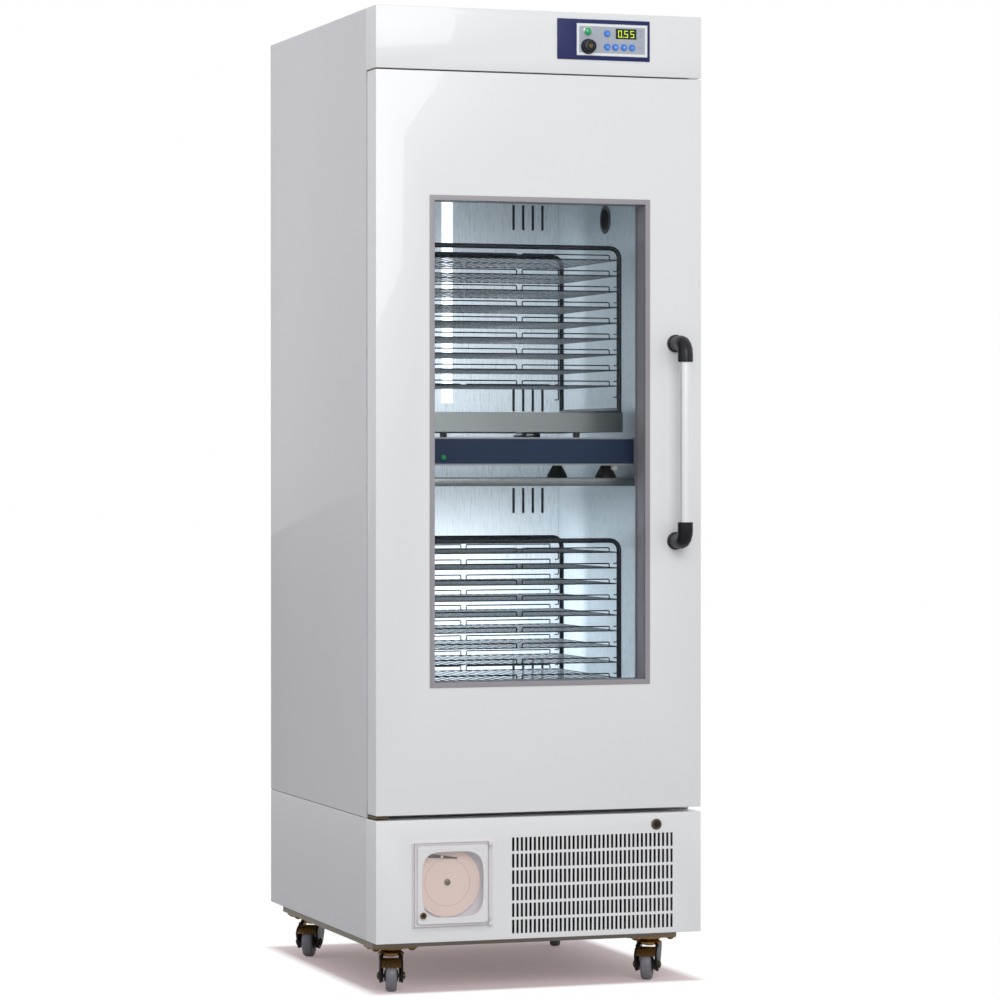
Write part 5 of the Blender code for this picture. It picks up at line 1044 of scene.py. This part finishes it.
# %% Casters
WHEEL_RADIUS, WHEEL_HALF = 0.0315, 0.014
CHEEK_X = (0.0197, 0.0240)
CHEEK_ROUND, CHEEK_SHRINK = 0.001, 0.94
CHEEK_EYE = 0.0145
CHEEK_TOP = 0.0405
HOOD_INNER, HOOD_OUTER = 0.0336, 0.0358
HOOD_START, HOOD_SWEEP, HOOD_STEPS = 145, 85, 16
CHEEK_ALONG_HOOD = 12


def both_sides(half):
    """A profile and its mirror image, from one side of the wheel to the other."""
    return half + [(radius, -distance) for radius, distance in reversed(half)]


def arc(radius, angles):
    """Points on a circle round the axle, seen from the side."""
    return [(radius * math.cos(a), radius * math.sin(a)) for a in angles]


def axle_of(corner):
    """The direction and the middle of a wheel's axle."""
    joint = next(j for j in frame["joints"] if j["name"] == "roll_" + corner)
    return Vector(joint["axis"]), Vector(joint["pos_m"])


def mounted(name, bm, turn, look, body, replaced=()):
    """Turns a shape from the x axis onto its axle and makes it a piece."""
    bmesh.ops.transform(bm, matrix=turn, verts=bm.verts)
    piece(name, bm, look, body, replaced)


r, w = WHEEL_RADIUS, WHEEL_HALF
tyre = both_sides([(0.0180, 0.0034 - w), (0.0262, 0.0028 - w), (r - 0.0030, 0.0034 - w),
                   (r - 0.0008, 0.0058 - w), (r, 0.0088 - w)])
hub = both_sides([(0.0044, -w), (0.0100, -w), (0.0118, 0.0020 - w), (0.0190, 0.0040 - w)])
eye_angles = [math.radians(-15 * i) for i in range(2, 13)]
hood_angles = [math.radians(HOOD_START - HOOD_SWEEP * i / HOOD_STEPS) for i in range(HOOD_STEPS + 1)]
cheek = [(0.0570, CHEEK_TOP), (0.0570, 0.0330), (0.0330, -0.0020)]
cheek += arc(CHEEK_EYE, eye_angles) + arc(HOOD_OUTER, hood_angles[:CHEEK_ALONG_HOOD]) + [(0.0040, CHEEK_TOP)]
layers = ((CHEEK_X[0], 1.0), (CHEEK_X[1] - CHEEK_ROUND, 1.0), (CHEEK_X[1], CHEEK_SHRINK))
x = CHEEK_X[0]
hood = ((-x, HOOD_INNER), (x, HOOD_INNER), (x, HOOD_OUTER), (-x, HOOD_OUTER))

for corner in CORNERS:
    axle, place = axle_of(corner)
    wheel, fork = "wheel_" + corner, "fork_" + corner
    turn = Matrix.Translation(place) @ Vector((1, 0, 0)).rotation_difference(axle).to_matrix().to_4x4()
    mounted("tyre_" + corner, turned(tyre, (0, 0, 0), "x", 64), turn, rubber, wheel, ["caster_" + wheel])
    mounted("hub_" + corner, turned(hub, (0, 0, 0), "x"), turn, tyre_hub, wheel)
    bm = bmesh.new()
    for side in (-1, 1):
        lofted(bm, [[(side * x, y * scale, z * scale) for y, z in cheek] for x, scale in layers])
    mounted("fork_cheeks_" + corner, bm, turn, fork_black, fork)
    bm = bmesh.new()
    lofted(bm, [[(x, radius * math.cos(a), radius * math.sin(a)) for x, radius in hood] for a in hood_angles])
    mounted("fork_hood_" + corner, bm, turn, bronze, fork)
print("wheels made, each between two fork cheeks", round(1000 * 2 * CHEEK_X[1]), "mm over all")

# %% [markdown]
# ## Nuts and bolts
#
# One tree puts a washer, a hex nut and its bolt end on every point that it is given, turned the
# way the bolt runs. It serves the axles, which swivel with their forks, and the caster plates.

# %% Nuts
BOLT_LENGTH, WASHER_WIDTH, WASHER_HEIGHT = 1.6, 1.25, 0.5
nuts, given = blank_tree("nuts_on_points", {
    "Nut Radius": "Float", "Nut Height": "Float", "Bolt Radius": "Float", "Turn": "Vector",
})
across, tall = given["Nut Radius"], given["Nut Height"]
bolt_length = add(nuts, "ShaderNodeMath", {0: tall, 1: BOLT_LENGTH}, operation="MULTIPLY").outputs[0]
washer_radius = add(nuts, "ShaderNodeMath", {0: across, 1: WASHER_WIDTH}, operation="MULTIPLY").outputs[0]
washer_height = add(nuts, "ShaderNodeMath", {0: tall, 1: WASHER_HEIGHT}, operation="MULTIPLY").outputs[0]
stack = add(nuts, "GeometryNodeJoinGeometry")
for sides, radius, depth in (
    (6, across, tall), (16, given["Bolt Radius"], bolt_length), (24, washer_radius, washer_height),
):
    part = add(nuts, "GeometryNodeMeshCylinder", {"Vertices": sides, "Radius": radius, "Depth": depth})
    nuts.links.new(part.outputs[0], stack.inputs[0])
placed = add(nuts, "GeometryNodeInstanceOnPoints", {
    "Points": given["Geometry"], "Instance": stack.outputs[0], "Rotation": given["Turn"],
})
close_tree(nuts, placed.outputs[0], given)

FORK_REACH = 0.0258
AXLE_NUT = {"Nut Radius": 0.0066, "Nut Height": 0.0040, "Bolt Radius": 0.0038}
PLATE_NUT = {"Nut Radius": 0.0055, "Nut Height": 0.0034, "Bolt Radius": 0.0032}
PLATE_BOLT = (0.038, 0.022, 0.0823)
for corner in CORNERS:
    axle, place = axle_of(corner)
    ends = [tuple(place + axle * side * FORK_REACH) for side in (-1, 1)]
    turn = Vector((0, 0, 1)).rotation_difference(axle).to_euler()
    grown("axle_nuts_" + corner, nuts, {**AXLE_NUT, "Turn": turn[:]}, dark_zinc, "fork_" + corner, (ends, ()))

plate_bolts = []
swivels = [Vector(joint["pos_m"]) for joint in frame["joints"] if joint["name"].startswith("swivel_")]
for place in swivels:
    dx, dy, z = PLATE_BOLT
    plate_bolts += [(place.x + i * dx, place.y + j * dy, z) for i in (-1, 1) for j in (-1, 1)]
grown("plate_bolts", nuts, {**PLATE_NUT, "Turn": (0, 0, 0)}, dark_zinc, "cabinet", (plate_bolts, ()))

# %% [markdown]
# ## The probe port
#
# Sensor leads pass through the right wall in a plastic sleeve with a collar inside the chamber.
# Its bore, lip and wall are one closed profile, spun about the wall's own direction.

# %% Probe port sleeve
PORT_DEPTH, PORT_HEIGHT = 0.413, 1.577
sleeve = [(0.0225, 0.2885), (0.0300, 0.2885), (0.0305, 0.2895), (0.0247, 0.2898), (0.0247, 0.3448),
          (0.0225, 0.3448), (0.0225, 0.2885)]
bm = turned(sleeve, (0, FRONT_Y + PORT_DEPTH, PORT_HEIGHT), "x", 64)
# The sleeve's near-black plastic is partly painted shade for the dark bore.
piece("port_sleeve", bm, fan_plastic, "cabinet")
print("port sleeve made")

# %% [markdown]
# ## Behind the air slots
#
# The duct on the back wall draws air through tall slots. A black sheet stands just behind them as
# painted shade, so the slots look dark and not lit. A second black sheet lies inside the base's rear
# slots, also painted shade: without it, daylight from behind shows as a row of specks in the gap under the
# door.

# %% Painted shade sheets
SHADE_SHEET_GAP = 0.004
VENT_X, VENT_Z = (0.030, 0.230), (0.157, 0.299)
VENT_DEPTH = (0.0044, 0.0014)
duct_low, duct_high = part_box("rear_duct")
# A black sheet behind the duct's slots: painted shade.
bm = bmesh.new()
slab(bm, (duct_low.x + SHADE_SHEET_GAP, duct_low.y + SHADE_SHEET_GAP, duct_low.z + SHADE_SHEET_GAP),
     (duct_high.x - SHADE_SHEET_GAP, duct_low.y + 2 * SHADE_SHEET_GAP, duct_high.z - SHADE_SHEET_GAP), 0.0005)
piece("duct_painted_shade_sheet", bm, foot_rubber, "cabinet")
cover_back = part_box("base_cover")[1].y
# A black sheet in the base's rear slots: painted shade.
bm = bmesh.new()
near, far = [(x, cover_back - depth, z) for x, depth, z in zip(VENT_X, VENT_DEPTH, VENT_Z)]
slab(bm, near, far, 0.0005)
piece("vent_painted_shade_sheet", bm, foot_rubber, "cabinet")
print("duct mat is", round(duct_high.x - duct_low.x - 2 * SHADE_SHEET_GAP, 3), "m wide")

# %% [markdown]
# ## The floor
#
# The cabinet stands on a floor with a painted pink shadow tint under it, which fades to plain white
# just outside its footprint, so no horizon shows. The fade runs on the distance from a rectangle:
# the size of the place less the half sizes, with nothing below zero. The white is full where the
# camera looks and dimmer as a light, so that the floor doesn't brighten the cabinet from below.

# %% Floor
FLOOR_SIZE = 60.0
FOOTPRINT = (0.335, 0.385, 0)
FOOTPRINT_MIDDLE = (0.015, 0.085, 0)
FADE_END = 0.03
FLOOR_LIGHT = 0.44
FLOOR_LIFT = 0.18
bm = bmesh.new()
bmesh.ops.create_grid(bm, x_segments=1, y_segments=1, size=FLOOR_SIZE / 2)
mesh = bpy.data.meshes.new("studio_floor")
bm.to_mesh(mesh)
bm.free()
floor_look = bpy.data.materials.new("studio_floor")
floor_look.use_nodes = True
tree = floor_look.node_tree
shader = tree.nodes["Principled BSDF"]
# Pink floor colour under the cabinet: painted shadow tint, which shows where the cabinet's shadow falls.
shader.inputs["Base Color"].default_value = colour("#F4E6E9")
shader.inputs["Roughness"].default_value = 0.85
place = add(tree, "ShaderNodeTexCoord").outputs["Object"]
side = add(tree, "ShaderNodeVectorMath", {0: place, 1: FOOTPRINT_MIDDLE}, operation="SUBTRACT")
side = add(tree, "ShaderNodeVectorMath", {0: side.outputs[0]}, operation="ABSOLUTE")
beyond = add(tree, "ShaderNodeVectorMath", {0: side.outputs[0], 1: FOOTPRINT}, operation="SUBTRACT")
beyond = add(tree, "ShaderNodeVectorMath", {0: beyond.outputs[0], 1: (0, 0, 0)}, operation="MAXIMUM")
reach = add(tree, "ShaderNodeVectorMath", {0: beyond.outputs[0]}, operation="LENGTH").outputs["Value"]
fade = add(tree, "ShaderNodeMapRange", {0: reach, 1: 0.0, 2: FADE_END, 3: 0.0, 4: 1.0})
seen = add(tree, "ShaderNodeLightPath").outputs["Is Camera Ray"]
lift_here = add(tree, "ShaderNodeMath", {0: seen, 1: FLOOR_LIFT}, operation="MULTIPLY")
# A pink lift for camera rays: white where lit, and a painted pink tint in the shadow.
lift = add(tree, "ShaderNodeEmission", {"Color": colour("#FFE9EC"), "Strength": lift_here.outputs[0]})
near = add(tree, "ShaderNodeAddShader", {0: shader.outputs[0], 1: lift.outputs[0]})
white = add(tree, "ShaderNodeMapRange", {0: seen, 1: 0.0, 2: 1.0, 3: FLOOR_LIGHT, 4: 1.0})
far = add(tree, "ShaderNodeEmission", {"Color": (1, 1, 1, 1), "Strength": white.outputs[0]})
blend = add(tree, "ShaderNodeMixShader", {0: fade.outputs[0], 1: near.outputs[0], 2: far.outputs[0]})
tree.links.new(blend.outputs[0], tree.nodes["Material Output"].inputs["Surface"])
mesh.materials.append(floor_look)
floor = bpy.data.objects.new("studio_floor", mesh)
bpy.context.scene.collection.objects.link(floor)
print("floor fades over", 1000 * FADE_END, "mm")

# %% [markdown]
# ## World and lamps
#
# The world is white wherever the camera, a reflection or glass looks at it, and dimmer as a light.
# A large soft lamp in front makes the front brighter than the side, and a weak one lifts the side.
# In the chamber, a soft panel behind each rack lights the duct wall, so the wires stand dark
# against it. An area lamp shines one way and can't be seen from behind, so the camera looks through
# these panels, and they are kept out of reflections because the duct wall would mirror them.

# %% World and lamps
WORLD_LIGHT = 0.52
BEHIND_RACKS = 0.52
CHAMBER_LAMP_WIDTH = 0.46
CHAMBER_LAMPS = (("upper", 1.29, 0.48, 2.5), ("lower", 0.70, 0.44, 4.8))
world = bpy.data.worlds.new("studio_world")
world.use_nodes = True
bpy.context.scene.world = world
tree = world.node_tree
rays = add(tree, "ShaderNodeLightPath").outputs
looked = rays["Is Camera Ray"]
for kind in ("Is Transmission Ray", "Is Glossy Ray"):
    looked = add(tree, "ShaderNodeMath", {0: looked, 1: rays[kind]}, operation="MAXIMUM").outputs[0]
strength = add(tree, "ShaderNodeMapRange", {0: looked, 1: 0.0, 2: 1.0, 3: WORLD_LIGHT, 4: 1.0})
tree.links.new(strength.outputs[0], tree.nodes["Background"].inputs["Strength"])
tree.nodes["Background"].inputs["Color"].default_value = (1, 1, 1, 1)


def lamp(name, place, aim, size, power, tint="#FFFFFF", size_y=None):
    """An area light that points at a place."""
    data = bpy.data.lights.new(name, "AREA")
    data.energy = power
    data.color = colour(tint)[:3]
    data.size = size
    if size_y:
        data.shape = "RECTANGLE"
        data.size_y = size_y
    obj = bpy.data.objects.new(name, data)
    obj.location = place
    obj.rotation_euler = (Vector(aim) - Vector(place)).to_track_quat("-Z", "Y").to_euler()
    bpy.context.scene.collection.objects.link(obj)
    return obj


lamp("key_lamp", (-0.6, -5.6, 3.2), (0, 0, 1.2), 2.6, 116)
lamp("fill_lamp", (-4.5, -2.0, 2.8), (0, 0, 1.3), 2.6, 9, "#F4F2FF")
for name, z, height, power in CHAMBER_LAMPS:
    place = Vector((0, FRONT_Y + BEHIND_RACKS, z))
    aim = place + Vector((0, 1, 0))
    panel = lamp(name + "_chamber_lamp", place, aim, CHAMBER_LAMP_WIDTH, power, "#F2F8FF", height)
    panel.visible_glossy = False
print("studio ready")
